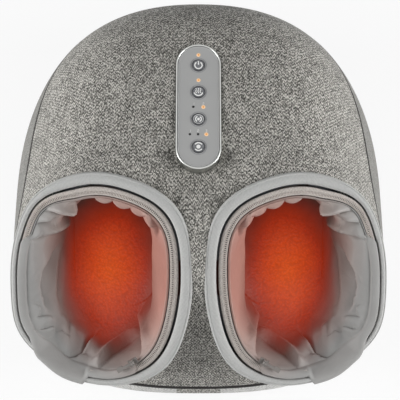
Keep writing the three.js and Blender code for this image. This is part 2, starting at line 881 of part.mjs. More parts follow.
// A pad on the sleeve: its faces lie along the sleeve's own grid, over a span of its sections and an arc
// of its sides
function sleevePad(spanShares, arcShares, near, farAt) {
  const shares = sectionShares.filter((share) => share >= spanShares[0] && share <= spanShares[1]);
  const [first, last] = arcShares.map((share) => Math.round(share * cuffSides));
  const count = last - first;
  const edge = (u, v) => clampShare(edgeShare * Math.min(u, 1 - u, v, 1 - v));
  return shares.map((share, k) => {
    const v = k / (shares.length - 1);
    const nearSide = [];
    const farSide = [];
    for (let i = 0; i <= count; i++) {
      const angle = (turn * (first + i)) / cuffSides;
      nearSide.push(sleevePoint(share, angle, near));
      farSide.push(sleevePoint(share, angle, farAt(edge(i / count, v))));
    }
    return [...nearSide, ...farSide.reverse()];
  });
}

function padSolid(rows) {
  const count = rows[0].length;
  const half = count / 2;
  const places = [];
  const push = (...points) => points.forEach((p) => places.push(p.x, p.y, p.z));
  for (let k = 0; k < rows.length - 1; k++) {
    for (let i = 0; i < count; i++) {
      const j = (i + 1) % count;
      push(...quad(rows[k][i], rows[k][j], rows[k + 1][j], rows[k + 1][i]));
    }
  }
  for (const [row, facing] of [[rows[0], 1], [rows[rows.length - 1], -1]]) {
    for (let i = 0; i < half - 1; i++) {
      const [a, b, c, d] = [row[i], row[i + 1], row[count - 2 - i], row[count - 1 - i]];
      push(...(facing === 1 ? quad(a, d, c, b) : quad(a, b, c, d)));
    }
  }
  const geometry = new THREE.BufferGeometry();
  geometry.setAttribute("position", new THREE.Float32BufferAttribute(places, 3));
  return geometry;
}

function facingOut(geometry) {
  return solidOf(geometry).volume() > 0 ? geometry : flipped(geometry);
}

function makeSolePanel() {
  const near = -sleeveWall - fitGap;
  return facingOut(padSolid(sleevePad(soleSpanShares, soleArcShares, near, () => near - soleWall)));
}

function makeBag(arcShares, crown) {
  const farAt = (edge) => layerGap + bagRim + (crown - bagRim) * edge;
  return facingOut(padSolid(sleevePad(bagSpanShares, arcShares, layerGap, farAt)));
}

// Gears
function gearShape(teeth, bore) {
  const pitchRadius = (gearModule * teeth) / 2;
  const tip = pitchRadius + addendumShare * gearModule;
  const root = pitchRadius - dedendumShare * gearModule;
  const pitchAngle = turn / teeth;
  const shape = new THREE.Shape();
  for (let i = 0; i < teeth; i++) {
    const middle = i * pitchAngle;
    const corners = [
      [-toothFootShare / 2, root],
      [-toothTipShare / 2, tip],
      [toothTipShare / 2, tip],
      [toothFootShare / 2, root],
    ];
    for (const [share, radius] of corners) {
      const angle = middle + share * pitchAngle;
      const x = radius * Math.cos(angle);
      const y = radius * Math.sin(angle);
      if (i === 0 && share < 0 && radius === root) shape.moveTo(x, y);
      else shape.lineTo(x, y);
    }
  }
  shape.closePath();
  if (bore) {
    const hole = new THREE.Path();
    hole.absarc(0, 0, bore, 0, turn, true);
    shape.holes.push(hole);
  }
  return shape;
}

// The turn that brings a gear's teeth into the gaps of its neighbour
function meshingTurn(teeth, neighbourTeeth, neighbourTurn, direction) {
  const phase = ((direction - neighbourTurn) * neighbourTeeth) / turn;
  return direction + Math.PI - (turn / teeth) * (0.5 - phase);
}

const gearDisc = (teeth, bore) => extruded(gearShape(teeth, bore), gearBottom, gearTop);
const collarBottom = caseTop + fitGap;

function makeHeadGear() {
  const spindleTop = discTop + hubRise - plateWall - fitGap;
  const profile = [
    [0, caseFloor + fitGap],
    [spindleFoot, caseFloor + fitGap],
    [spindleFoot, collarBottom],
    [collarRadius, collarBottom],
    [collarRadius, coverBottom - fitGap],
    [spindleRadius, coverBottom - fitGap],
    [spindleRadius, spindleTop],
    [0, spindleTop],
  ];
  return join(solidOf(gearDisc(headTeeth)), solidOf(lathe(profile, 8)));
}

function makeCentreGear() {
  const collar = solidOf(lathe([
    [centrePin + runGap, collarBottom],
    [collarRadius, collarBottom],
    [collarRadius, coverBottom - fitGap],
    [centrePin + runGap, coverBottom - fitGap],
    [centrePin + runGap, collarBottom],
  ], 14));
  return join(solidOf(gearDisc(centreTeeth, collarRadius - fitGap)), collar);
}

const motorBottom = coverTop + fitGap;

function makePinion() {
  const profile = [
    [0, collarBottom],
    [collarRadius, collarBottom],
    [collarRadius, coverBottom - fitGap],
    [pinionSpindle, coverBottom - fitGap],
    [pinionSpindle, motorBottom + motorBoss],
    [0, motorBottom + motorBoss],
  ];
  return join(solidOf(gearDisc(pinionTeeth)), solidOf(lathe(profile, 10)));
}

const motorPlace = trainPlace + (gearModule * (centreTeeth + pinionTeeth)) / 2;

// Gear case: a tray that carries the gears, and a flat cover
const headTip = gearModule * (headTeeth / 2 + addendumShare);
const centreTip = gearModule * (centreTeeth / 2 + addendumShare);
const pinionTip = gearModule * (pinionTeeth / 2 + addendumShare);

function caseShape(margin) {
  const side = kneadX + headTip + margin;
  const front = kneadRows[1] - headTip - margin;
  const shoulder = trainPlace + centreTip + margin;
  const neck = Math.max(pinionTip, motorRadius) + margin;
  const back = motorPlace + Math.max(pinionTip, motorRadius) + margin;
  const shape = new THREE.Shape();
  shape.moveTo(-side + caseCorner, front);
  shape.lineTo(side - caseCorner, front);
  shape.lineTo(side, front + caseCorner);
  shape.lineTo(side, shoulder - caseCorner);
  shape.lineTo(side - caseCorner, shoulder);
  shape.lineTo(neck, shoulder);
  shape.lineTo(neck, back);
  shape.lineTo(-neck, back);
  shape.lineTo(-neck, shoulder);
  shape.lineTo(-side + caseCorner, shoulder);
  shape.lineTo(-side, shoulder - caseCorner);
  shape.lineTo(-side, front + caseCorner);
  shape.closePath();
  return shape;
}

function standPlaces() {
  const side = kneadX + headTip - 2 * standRadius;
  const front = kneadRows[1] - headTip + 2 * standRadius;
  const shoulder = trainPlace + headTip - 2 * standRadius;
  return [[-side, front], [side, front], [-side, shoulder], [side, shoulder]];
}

const kneadPlaces = [-1, 1].flatMap((side) => kneadRows.map((y) => [side * kneadX, y]));

function makeCaseBase() {
  const plate = solidOf(extruded(caseShape(caseMargin + caseRim), caseFloor, coverBottom - fitGap));
  const room = solidOf(extruded(caseShape(caseMargin), caseTop, coverBottom + overrun));
  const pin = solidOf(cylinder(centrePin, caseTop - postEmbed, coverBottom - fitGap, 0, trainPlace, 12));
  const bearings = kneadPlaces.map(([x, y]) =>
    solidOf(cylinder(spindleFoot + runGap, 0, caseTop + fitGap, x, y, 10)));
  return join(cut(plate, room, ...bearings), pin);
}

function makeCaseCover() {
  const plate = solidOf(extruded(caseShape(caseMargin + caseRim), coverBottom, coverTop));
  const bearings = kneadPlaces.map(([x, y]) =>
    solidOf(cylinder(spindleRadius + runGap, 0, overrun, x, y, 10)));
  const shaftHole = solidOf(cylinder(pinionSpindle + runGap, 0, overrun, 0, motorPlace, 10));
  return cut(plate, ...bearings, shaftHole);
}

// Kneading head: a disc with three rounded nodes, pressed on its spindle
function makeKneadingHead() {
  const socketTop = discTop + hubRise - plateWall;
  const disc = solidOf(lathe([
    [0, discBottom],
    [discRadius - discRound, discBottom],
    [discRadius, discBottom + discRound],
    [discRadius, discTop - discRound],
    [discRadius - discRound, discTop],
    [hubRadius, discTop],
    [hubRadius - discRound, discTop + hubRise],
    [0, discTop + hubRise],
  ], 12));
  const nodeProfile = [[0, discTop - discRound]];
  for (let i = 0; i <= 1; i++) {
    const angle = (Math.PI / 2) * (i / 2);
    nodeProfile.push([nodeRadius * Math.cos(angle), discTop + (nodeRise - discRound) * Math.sin(angle)]);
  }
  nodeProfile.push([0, discTop + nodeRise - discRound]);
  nodeProfile.splice(1, 0, [nodeRadius, discTop - discRound]);
  const nodes = Array.from({ length: nodeCount }, (_, i) => {
    const angle = (turn * i) / nodeCount;
    const node = lathe(nodeProfile, 6);
    return solidOf(node.translate(nodePlace * Math.cos(angle), nodePlace * Math.sin(angle), 0));
  });
  const socket = solidOf(cylinder(spindleRadius + layerGap, 0, socketTop, 0, 0, 10));
  return cut(join(disc, ...nodes), socket);
}

function makeMotor() {
  const top = motorBottom + motorHeight;
  const can = solidOf(lathe([
    [0, motorBottom],
    [motorRadius - motorRound, motorBottom],
    [motorRadius, motorBottom + motorRound],
    [motorRadius, top - motorRound],
    [motorRadius - motorRound, top],
    [motorBoss, top],
    [motorBoss, top + motorRound],
    [0, top + motorRound],
  ], 14));
  const bearing = solidOf(cylinder(pinionSpindle + runGap, 0, motorBottom + motorBoss + fitGap, 0, 0, 10));
  return cut(can, bearing);
}

// Air side
const pumpBottom = floorTop + pumpStand;
const pumpHeight = pumpBottom + pumpRadius;
const valveBottom = pumpHeight - valveHeight / 2;
const boardBottom = floorTop + caseStand;

function alongX(geometry) {
  return geometry.rotateY(Math.PI / 2);
}

function makePump() {
  const can = solidOf(alongX(cylinder(pumpRadius, -pumpLength / 2, pumpLength / 2, 0, 0, 16)));
  const neck = solidOf(alongX(cylinder(nozzleRadius, 0, pumpLength / 2 + nozzleLength, 0, 0, 8)));
  return join(can, neck);
}

function makeValveBlock() {
  const half = valveHeight / 2;
  const block = solidOf(box(valveWidth, valveDepth, -half, half));
  const inlet = solidOf(alongX(cylinder(nozzleRadius, -valveWidth / 2 - nozzleLength, 0, 0, 0, 8)));
  const outlets = [-1, 1].map((side) =>
    solidOf(cylinder(nozzleRadius, 0, half + nozzleLength, side * valveNozzleAside, 0, 8)));
  return join(block, inlet, ...outlets);
}

const valveMiddle = valveBottom + valveHeight / 2;
const pumpNozzleEnd = -pumpAside + pumpLength / 2 + nozzleLength;
const valveNozzleEnd = -valveWidth / 2 - nozzleLength;

// Hoses are solid lengths that end face to face with the nozzles
function hoseAlong(points, steps) {
  const path = new THREE.CatmullRomCurve3(points, false, "centripetal");
  const shape = new THREE.Shape();
  for (let i = 0; i < 6; i++) {
    const angle = (turn * i) / 6;
    const x = hoseRadius * Math.cos(angle);
    const y = hoseRadius * Math.sin(angle);
    if (i === 0) shape.moveTo(x, y);
    else shape.lineTo(x, y);
  }
  shape.closePath();
  return new THREE.ExtrudeGeometry(shape, { steps, extrudePath: path, bevelEnabled: false });
}

function makePumpHose() {
  const lift = new THREE.Vector3(pumpNozzleEnd + fitGap, rearBay, pumpHeight);
  const land = new THREE.Vector3(valveNozzleEnd - fitGap, rearBay, valveMiddle);
  return hoseAlong([lift, lift.clone().lerp(land, 0.5), land], 3);
}

function makeBagHose() {
  const nozzleTop = valveMiddle + valveHeight / 2 + nozzleLength;
  const start = new THREE.Vector3(valveNozzleAside, rearBay, nozzleTop + fitGap);
  const end = sleevePoint(bagSpanShares[1], Math.PI / 2, layerGap + bagRim / 2 + hoseRadius / 2);
  end.y += fitGap * 2;
  const rise = start.clone().setZ(start.z + nozzleLength * 2);
  const turnOut = start.clone().lerp(end, 0.45).setZ(mix(start.z, end.z, 0.9)).setY(rearBay - nozzleLength);
  const lead = end.clone().setY(end.y + nozzleLength * 2);
  return hoseAlong([start, rise, turnOut, lead, end], 11);
}

function makeMainBoard() {
  const plate = solidOf(box(boardWidth, boardDepth, 0, boardWall));
  const chips = [-1, 0, 1].map((k) => {
    const depth = chipWidth * (1 - 0.25 * k);
    return solidOf(box(chipWidth, depth, boardWall / 2, boardWall + chipHeight * (1 + k), k * chipWidth * 1.3));
  });
  return join(plate, ...chips);
}

function makeInlet() {
  const barrel = solidOf(lathe([
    [0, -jackLength],
    [jackRadius, -jackLength],
    [jackRadius, 0],
    [jackBore, 0],
    [jackBore, -jackLength / 2],
    [jackPin, -jackLength / 2],
    [jackPin, -jackRadius / 2],
    [0, -jackRadius / 2],
  ], 10).rotateX(-Math.PI / 2));
  const blockDepth = jackLength - 2 * shellWall - fabricWall;
  const block = solidOf(
    box(jackBlock, blockDepth, -jackBlock / 2, jackBlock / 2, 0, blockDepth / 2 - jackLength - jackBlock / 2),
  );
  return join(barrel, block);
}

// Panel
function makeBezel() {
  const outer = solidOf(extruded(stadium(panelLength, panelWidth), panelTop - bezelDepth, panelTop));
  const inner = (rim, bottom, top) =>
    solidOf(extruded(stadium(panelLength - 2 * rim, panelWidth - 2 * rim), bottom, top));
  const ledgeTop = panelTop - plateSink - plateThick - fitGap;
  return cut(
    outer,
    inner(bezelWall, ledgeTop, panelTop + overrun),
    inner(bezelWall + ledgeWidth, panelTop - overrun, panelTop + overrun),
    inner(bezelWall, panelTop - overrun, ledgeTop - ledgeThick),
  );
}

const plateTop = panelTop - plateSink;
const plateBottom = plateTop - plateThick;
const buttonPlaces = buttonNames.map((_, i) => ((buttonNames.length - 1) / 2 - i) * buttonPitch);

function makePanelPlate() {
  const rim = bezelWall + fitGap;
  const shape = stadium(panelLength - 2 * rim, panelWidth - 2 * rim);
  const plate = solidOf(extruded(shape, plateBottom, plateTop));
  const holes = buttonPlaces.map((y) =>
    solidOf(cylinder(buttonRadius + fitGap, plateBottom - overrun, plateTop + overrun, 0, y, 12)));
  return cut(plate, ...holes);
}

const keyBoardTop = plateBottom - keyBoardDrop;

function makeButton() {
  const skirtTop = plateBottom - fitGap;
  const profile = [
    [0, keyBoardTop + keyHeight + buttonTravel + fitGap],
    [stemRadius, keyBoardTop + keyHeight + buttonTravel + fitGap],
    [stemRadius, skirtTop - buttonSkirt],
    [buttonRadius + buttonSkirt, skirtTop - buttonSkirt],
    [buttonRadius + buttonSkirt, skirtTop],
    [buttonRadius, skirtTop],
    [buttonRadius, plateTop + buttonProud / 2],
    [buttonRadius * 0.9, plateTop + buttonProud],
    [0, plateTop + buttonProud * 0.8],
  ];
  return lathe(profile, 12);
}

function makeKeyBoard() {
  const rim = bezelWall + fitGap;
  const plate = solidOf(extruded(
    stadium(panelLength - 2 * rim, panelWidth - 2 * rim), keyBoardTop - boardWall, keyBoardTop));
  const keys = buttonPlaces.map((y) =>
    solidOf(box(keyWidth, keyWidth, keyBoardTop - boardWall / 2, keyBoardTop + keyHeight, 0, y)));
  const posts = [-1, 1].map((side) => solidOf(
    box(keyWidth, keyWidth, keyBoardTop - boardWall / 2, plateBottom - fitGap, 0,
      side * (panelLength / 2 - keyWidth * 1.5)),
  ));
  return join(plate, ...keys, ...posts);
}

// Assembly
const massager = new THREE.Group();

function add(name, shape, finish, parent = massager) {
  const geometry = shape.isBufferGeometry ? shape : geometryOf(shape);
  const mesh = new THREE.Mesh(geometry, material(finish));
  mesh.name = name;
  parent.add(mesh);
  return mesh;
}

function addPair(name, shape, finish) {
  const geometry = shape.isBufferGeometry ? shape : geometryOf(shape);
  add("right_" + name, geometry, finish);
  add("left_" + name, mirrored(geometry), finish);
}

add("upper_fabric_cover", makeUpperFabric(), "heather");
add("lower_fabric_skirt", makeSkirt(), "skirtCloth");
add("seam_strip", makeSeamStrip(), "piping");
add("upper_shell", makeUpperShell(), "shellPlastic");
add("lower_shell", makeLowerShell(), "shellPlastic");

const footNames = ["front_left_foot", "front_right_foot", "rear_left_foot", "rear_right_foot"];
footPlaces.forEach(([x, y], i) => add(footNames[i], makeFoot(), "rubber").position.set(x, y, 0));
const screwNames = ["rear_left", "rear_right", "left", "right", "front"];
screwPlaces.forEach(([x, y], i) => add(screwNames[i] + "_case_screw", makeScrew(x, y), "steel"));

addPair("leg_cuff", makeCuff(), "cuffCloth");
addPair("zip_tape", makeZipTape(), "zipTape");
addPair("zip_slider", geometryOf(makeSlider()).applyMatrix4(zipFrame()), "zipMetal");
addPair("zip_pull", geometryOf(makePull()).applyMatrix4(zipFrame()), "zipMetal");
addPair("foot_sleeve", makeSleeve(), "sleeveCloth");
addPair("sole_panel", makeSolePanel(), "solePanel");
addPair("instep_air_bag", makeBag(instepArcShares, bagCrown), "bagFilm");
addPair("side_air_bag", makeBag(sideArcShares, sideCrown), "bagFilm");
addPair("air_hose", makeBagHose(), "hoseRubber");

add("gear_case_base", makeCaseBase(), "shellPlastic");
add("gear_case_cover", makeCaseCover(), "shellPlastic");
add("centre_gear", makeCentreGear(), "acetal").position.set(0, trainPlace, 0);
add("drive_motor", makeMotor(), "steel").position.set(0, motorPlace, 0);
const pinion = add("motor_pinion", makePinion(), "acetal");
pinion.position.set(0, motorPlace, 0);
pinion.rotation.z = meshingTurn(pinionTeeth, centreTeeth, 0, Math.PI / 2);
for (const [side, sideName] of [[-1, "left"], [1, "right"]]) {
  const rearTurn = meshingTurn(headTeeth, centreTeeth, 0, side > 0 ? 0 : Math.PI);
  const frontTurn = meshingTurn(headTeeth, headTeeth, rearTurn, -Math.PI / 2);
  [["rear", rearTurn], ["front", frontTurn]].forEach(([rowName, spin], row) => {
    const gear = add(rowName + "_" + sideName + "_head_gear", makeHeadGear(), "acetal");
    gear.position.set(side * kneadX, kneadRows[row], 0);
    gear.rotation.z = spin;
    const head = add(rowName + "_" + sideName + "_kneading_head", makeKneadingHead(), "headPlastic");
    head.position.set(side * kneadX, kneadRows[row], 0);
    head.rotation.z = (side * Math.PI) / 6 + (row * Math.PI) / 3;
  });
}

add("air_pump", makePump(), "shellPlastic").position.set(-pumpAside, rearBay, pumpHeight);
add("valve_block", makeValveBlock(), "shellPlastic").position.set(0, rearBay, valveMiddle);
add("pump_hose", makePumpHose(), "hoseRubber");
add("main_board", makeMainBoard(), "board").position.set(pumpAside, rearBay, boardBottom);
const inletBack = domePoint(Math.PI / 2, 0, 0).y;
add("dc_inlet", makeInlet(), "rubber").position.set(0, inletBack, jackHeight);

const panel = new THREE.Group();
panel.position.set(0, panelPlace, 0);
massager.add(panel);
add("panel_bezel", makeBezel(), "chrome", panel);
add("panel_plate", makePanelPlate(), "fascia", panel);
add("key_board", makeKeyBoard(), "board", panel);
buttonPlaces.forEach((y, i) =>
  add(buttonNames[i], makeButton(), "buttonPlastic", panel).position.set(0, y, 0));

export default massager;
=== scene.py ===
# A shiatsu foot massager: a cloth-covered dome with two zipped foot pockets and a control panel on top.
# Metres, +Z up, +X to the user's right, +Y away from the user. The origin is on the floor, under the middle.
import json
import math

import bmesh
import bpy
from mathutils import Matrix, Vector, noise
from mathutils.bvhtree import BVHTree
from mathutils.kdtree import KDTree


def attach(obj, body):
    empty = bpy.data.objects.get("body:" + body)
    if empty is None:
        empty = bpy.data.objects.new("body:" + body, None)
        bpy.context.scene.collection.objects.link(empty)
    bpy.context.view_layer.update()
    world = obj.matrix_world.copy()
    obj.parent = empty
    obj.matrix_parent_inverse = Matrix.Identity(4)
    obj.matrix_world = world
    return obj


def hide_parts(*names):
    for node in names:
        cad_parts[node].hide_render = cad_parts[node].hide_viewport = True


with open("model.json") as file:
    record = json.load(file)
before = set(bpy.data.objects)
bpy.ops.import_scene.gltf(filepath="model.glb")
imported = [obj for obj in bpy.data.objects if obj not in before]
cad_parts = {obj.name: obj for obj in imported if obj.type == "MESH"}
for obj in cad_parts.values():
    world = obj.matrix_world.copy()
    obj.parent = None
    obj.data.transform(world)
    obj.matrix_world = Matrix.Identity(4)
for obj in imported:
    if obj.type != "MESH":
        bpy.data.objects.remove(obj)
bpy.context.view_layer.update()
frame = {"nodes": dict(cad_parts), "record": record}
MM = 0.001
TURN = 2 * math.pi


# Camera and studio
# The camera looks down from in front of the object, at 69 degrees. A large soft lamp stands at each side and
# a weak one in front, over a white floor that keeps a faint shadow.
def linear(hex_colour):
    """An sRGB hex colour as linear RGBA."""
    parts = [int(hex_colour[i:i + 2], 16) / 255 for i in (0, 2, 4)]
    return [p / 12.92 if p <= 0.04045 else ((p + 0.055) / 1.055) ** 2.4 for p in parts] + [1.0]


def add_node(tree, kind, inputs=None, **settings):
    """Adds a node with its settings; inputs gives sockets a value, or another node's output."""
    made = tree.nodes.new(kind)
    for name, value in settings.items():
        setattr(made, name, value)
    for socket, value in (inputs or {}).items():
        if isinstance(value, bpy.types.NodeSocket):
            tree.links.new(value, made.inputs[socket])
        else:
            made.inputs[socket].default_value = value
    return made


def maths(tree, operation, *values):
    """The result of a math node."""
    return add_node(tree, "ShaderNodeMath", dict(enumerate(values)), operation=operation).outputs[0]


def vector_maths(tree, operation, *values):
    """The result of a vector math node."""
    return add_node(tree, "ShaderNodeVectorMath", dict(enumerate(values)), operation=operation).outputs[0]


camera_data = bpy.data.cameras.new("camera")
camera_data.sensor_width = 36
camera_data.lens = 125.6
camera_data.shift_x = 0.0038
camera_data.shift_y = -0.0425
camera_data.clip_end = 10
camera = bpy.data.objects.new("camera", camera_data)
bpy.context.scene.collection.objects.link(camera)
view_target = Vector((0, 0, 0.095))
view_height = math.radians(69)
view_distance = 1.4
camera.location = view_target + view_distance * Vector((0, -math.cos(view_height), math.sin(view_height)))
camera.rotation_euler = (math.radians(90) - view_height, 0, 0)
bpy.context.scene.camera = camera
bpy.context.scene.view_settings.view_transform = "Standard"


def area_lamp(name, place, size, watts):
    """A square soft lamp that faces the object."""
    data = bpy.data.lights.new(name, "AREA")
    data.size = size
    data.energy = watts
    lamp = bpy.data.objects.new(name, data)
    bpy.context.scene.collection.objects.link(lamp)
    lamp.location = place
    lamp.rotation_euler = (view_target - Vector(place)).to_track_quat("-Z", "Y").to_euler()


area_lamp("front_lamp", (0, -1.5, 1.9), 1.4, 2)
for lamp_name, lamp_x in (("left_lamp", -1.7), ("right_lamp", 1.7)):
    area_lamp(lamp_name, (lamp_x, -0.35, 0.75), 1.1, 33)

# The world is plain white where the camera or a gloss sees it, and a dim daylight for everything else.
world = bpy.data.worlds.new("studio")
bpy.context.scene.world = world
world.use_nodes = True
sky_tree = world.node_tree
sky_tree.nodes.clear()
path = add_node(sky_tree, "ShaderNodeLightPath")
shown = maths(sky_tree, "MAXIMUM", path.outputs["Is Camera Ray"], path.outputs["Is Glossy Ray"])
dim = add_node(sky_tree, "ShaderNodeBackground", {"Color": linear("f4f6f8"), "Strength": 0.27})
white = add_node(sky_tree, "ShaderNodeBackground", {"Color": (1, 1, 1, 1), "Strength": 1.0})
both = add_node(sky_tree, "ShaderNodeMixShader",
                {0: shown, 1: dim.outputs[0], 2: white.outputs[0]})
add_node(sky_tree, "ShaderNodeOutputWorld", {"Surface": both.outputs[0]})


def finish_mesh(form, name, smooth=True):
    """The bmesh as a new object at the origin."""
    mesh = bpy.data.meshes.new(name)
    form.to_mesh(mesh)
    form.free()
    mesh.shade_smooth() if smooth else mesh.shade_flat()
    piece = bpy.data.objects.new(name, mesh)
    bpy.context.scene.collection.objects.link(piece)
    return piece


# Matt white paper, which glows a little for the camera alone, so that it shows as white as the background.
floor_form = bmesh.new()
bmesh.ops.create_grid(floor_form, x_segments=1, y_segments=1, size=3)
floor = finish_mesh(floor_form, "floor", smooth=False)
floor_finish = bpy.data.materials.new("white_floor")
floor_finish.use_nodes = True
floor_tree = floor_finish.node_tree
floor_tree.nodes.clear()
floor_path = add_node(floor_tree, "ShaderNodeLightPath")
floor_shown = maths(floor_tree, "MULTIPLY", floor_path.outputs["Is Camera Ray"], 0.86)
floor_matt = add_node(floor_tree, "ShaderNodeBsdfDiffuse", {"Color": linear("f2f2f2")})
floor_glow = add_node(floor_tree, "ShaderNodeEmission", {"Color": (1, 1, 1, 1), "Strength": 1.0})
floor_mix = add_node(floor_tree, "ShaderNodeMixShader",
                     {0: floor_shown, 1: floor_matt.outputs[0], 2: floor_glow.outputs[0]})
add_node(floor_tree, "ShaderNodeOutputMaterial", {"Surface": floor_mix.outputs[0]})
floor.data.materials.append(floor_finish)


# Upper fabric cover
# Heather polyester cloth, salt and pepper yarns in a herringbone weave, laminated on thin foam and stretched
# over the plastic dome. Its lower edge is tucked into the seam groove.
half_width = 192 * MM
front_reach = 197 * MM
rear_reach = 203 * MM
belt_height = 22 * MM
crest_rise = 179 * MM
front_rise = 46 * MM
rear_rise = 150 * MM
side_power = 2.75
front_power = 3.2
rear_power = 2.75
crest_place = 95 * MM
seam_front = 30.5 * MM
seam_rear = 112 * MM
seam_half = 1.0 * MM
seam_gap = 0.4 * MM
tuck_radius = 3.2 * MM
cloth_wall = 1.8 * MM
rear_taper = 0.02
front_fall_power = 3.2
rear_fall_power = 2
seam_bend = 0.8
corner_lean = math.radians(-40)
corner_spread = math.radians(30)
draw_shares = {"side": 0.66, "corner": 0.2, "rear": 0.33, "front": 0.3}
climb_powers = {"side": 1.7, "corner": 1.3, "rear": 1.08, "front": 1.2}
swell_share = 0.12
edge_crowding = 1.5


def clamp(value):
    return min(1.0, max(0.0, value))


def smooth_step(value):
    held = clamp(value)
    return held * held * (3 - 2 * held)


def mix(low, high, share):
    return low + (high - low) * share


def corner_share(angle):
    """1 towards the front corners, where the dome is fuller, and 0 away from them."""
    lean = math.atan2(math.sin(angle), abs(math.cos(angle)))
    return math.exp(-((lean - corner_lean) / corner_spread) ** 2)


def blended(table, angle):
    """The side's value, drawn towards those of the corner, the rear and the front."""
    corner = corner_share(angle)
    rear = clamp(math.sin(angle)) ** 2
    front = clamp(-math.sin(angle)) ** 4 * (1 - corner)
    side = table["side"]
    return (side + (table["corner"] - side) * corner + (table["rear"] - side) * rear
            + (table["front"] - side) * front)


def outline_point(angle, inset):
    """A point of the dome's outline seen from above, inset from its widest line."""
    c = math.cos(angle)
    s = math.sin(angle)
    reach = rear_reach if s > 0 else front_reach
    power = rear_power if s > 0 else front_power
    spread = abs(c) ** side_power + abs(s) ** power
    x = (half_width - inset) * c / spread ** (1 / side_power)
    y = (reach - inset) * s / spread ** (1 / power)
    return x * (1 - rear_taper * y / reach), y


def rise_at(y, inset):
    """The height of the dome's middle line over the belt, highest at crest_place."""
    front = clamp((crest_place - y) / (crest_place + front_reach))
    rear = clamp((y - crest_place) / (rear_reach - crest_place))
    fall = ((crest_rise - front_rise) * front ** front_fall_power
            + (crest_rise - rear_rise) * rear ** rear_fall_power)
    return crest_rise - inset - fall


def dome_point(angle, share, inset=0.0):
    """A point of the dome: share runs from 0 at the belt to 1 at the top."""
    x, y = outline_point(angle, inset)
    lift = math.sin(share * math.pi / 2) ** blended(climb_powers, angle)
    swell = 1 + swell_share * corner_share(angle) * lift * lift
    reach = swell * max(0.0, math.cos(share * math.pi / 2)) ** blended(draw_shares, angle)
    return Vector((x * reach, y * reach, belt_height + rise_at(y * reach, inset) * lift))


def seam_height(y):
    """The height of the seam, low in front and high at the back."""
    along = clamp((y + front_reach) / (front_reach + rear_reach))
    return mix(seam_front, seam_rear, along ** seam_bend)


def seam_share(angle, shift):
    """How far up the dome the seam lies at this angle."""
    low, high = 0.0, 1.0
    for _ in range(24):
        middle = (low + high) / 2
        place = dome_point(angle, middle)
        if place.z < seam_height(place.y) + shift:
            low = middle
        else:
            high = middle
    return low


def weave_place(place):
    """Where a point of the dome lies on its cloth, laid out flat from the top."""
    flat = max(1e-6, math.hypot(place.x, place.y))
    drop = crest_rise + belt_height - place.z
    stretch = math.hypot(flat, drop) / flat
    return place.x * stretch, place.y * stretch


def mapped_grid(name, around, along, place, weave=None):
    """A grid carried to its shape by place(u, v), with u and v from 0 to 1. Edges that meet are joined."""
    form = bmesh.new()
    bmesh.ops.create_grid(form, x_segments=around, y_segments=along, size=0.5)
    layer = form.loops.layers.uv.new("weave")
    shares = {vert: (clamp(vert.co.x + 0.5), clamp(vert.co.y + 0.5)) for vert in form.verts}
    for vert, (u, v) in shares.items():
        vert.co = place(u, v)
    for face in form.faces:
        for loop in face.loops:
            u, v = shares[loop.vert]
            loop[layer].uv = weave(loop.vert.co) if weave else (u, v)
    bmesh.ops.remove_doubles(form, verts=form.verts, dist=0.00002)
    bmesh.ops.recalc_face_normals(form, faces=form.faces)
    return finish_mesh(form, name)


def apply_modifiers(piece):
    """Makes the piece's modifiers part of its mesh."""
    bpy.context.view_layer.update()
    graph = bpy.context.evaluated_depsgraph_get()
    mesh = bpy.data.meshes.new_from_object(piece.evaluated_get(graph))
    piece.modifiers.clear()
    piece.data = mesh


def carve(piece, cutter):
    """Cuts the cutter's space out of the piece."""
    cut = piece.modifiers.new("cut", "BOOLEAN")
    cut.operation = "DIFFERENCE"
    cut.solver = "MANIFOLD"
    cut.object = cutter
    apply_modifiers(piece)
    piece.data.materials.clear()
    bpy.data.objects.remove(cutter)


def tucked_point(angle, share, edge):
    """A point of the cloth, which turns inwards on a small radius near its edge."""
    away = clamp((dome_point(angle, share) - dome_point(angle, edge)).length / tuck_radius)
    return dome_point(angle, share, tuck_radius * (1 - math.sqrt(1 - (1 - away) ** 2)))


def cover_place(u, v):
    """v runs from the tucked edge in the seam groove up to the top."""
    angle = TURN * u
    low = seam_share(angle, seam_half + seam_gap)
    return tucked_point(angle, mix(low, 1.0, v ** edge_crowding), low)


def thicken(piece, thickness, outwards=False):
    """Gives a sheet its thickness, to its inner side unless told otherwise."""
    wall = piece.modifiers.new("wall", "SOLIDIFY")
    wall.thickness = thickness
    wall.offset = 1 if outwards else -1
    apply_modifiers(piece)


cover = mapped_grid("heather_cover", 224, 96, cover_place, weave_place)
thicken(cover, cloth_wall)


def set_stops(ramp, stops):
    """Gives a colour ramp its stops, as pairs of a place and an sRGB hex colour."""
    elements = ramp.color_ramp.elements
    elements[0].position, elements[0].color = stops[0][0], linear(stops[0][1])
    elements[1].position, elements[1].color = stops[-1][0], linear(stops[-1][1])
    for position, colour in stops[1:-1]:
        elements.new(position).color = linear(colour)


def new_finish(name):
    """A new material, with its nodes and its shader."""
    finish = bpy.data.materials.new(name)
    finish.use_nodes = True
    return finish, finish.node_tree, finish.node_tree.nodes["Principled BSDF"]


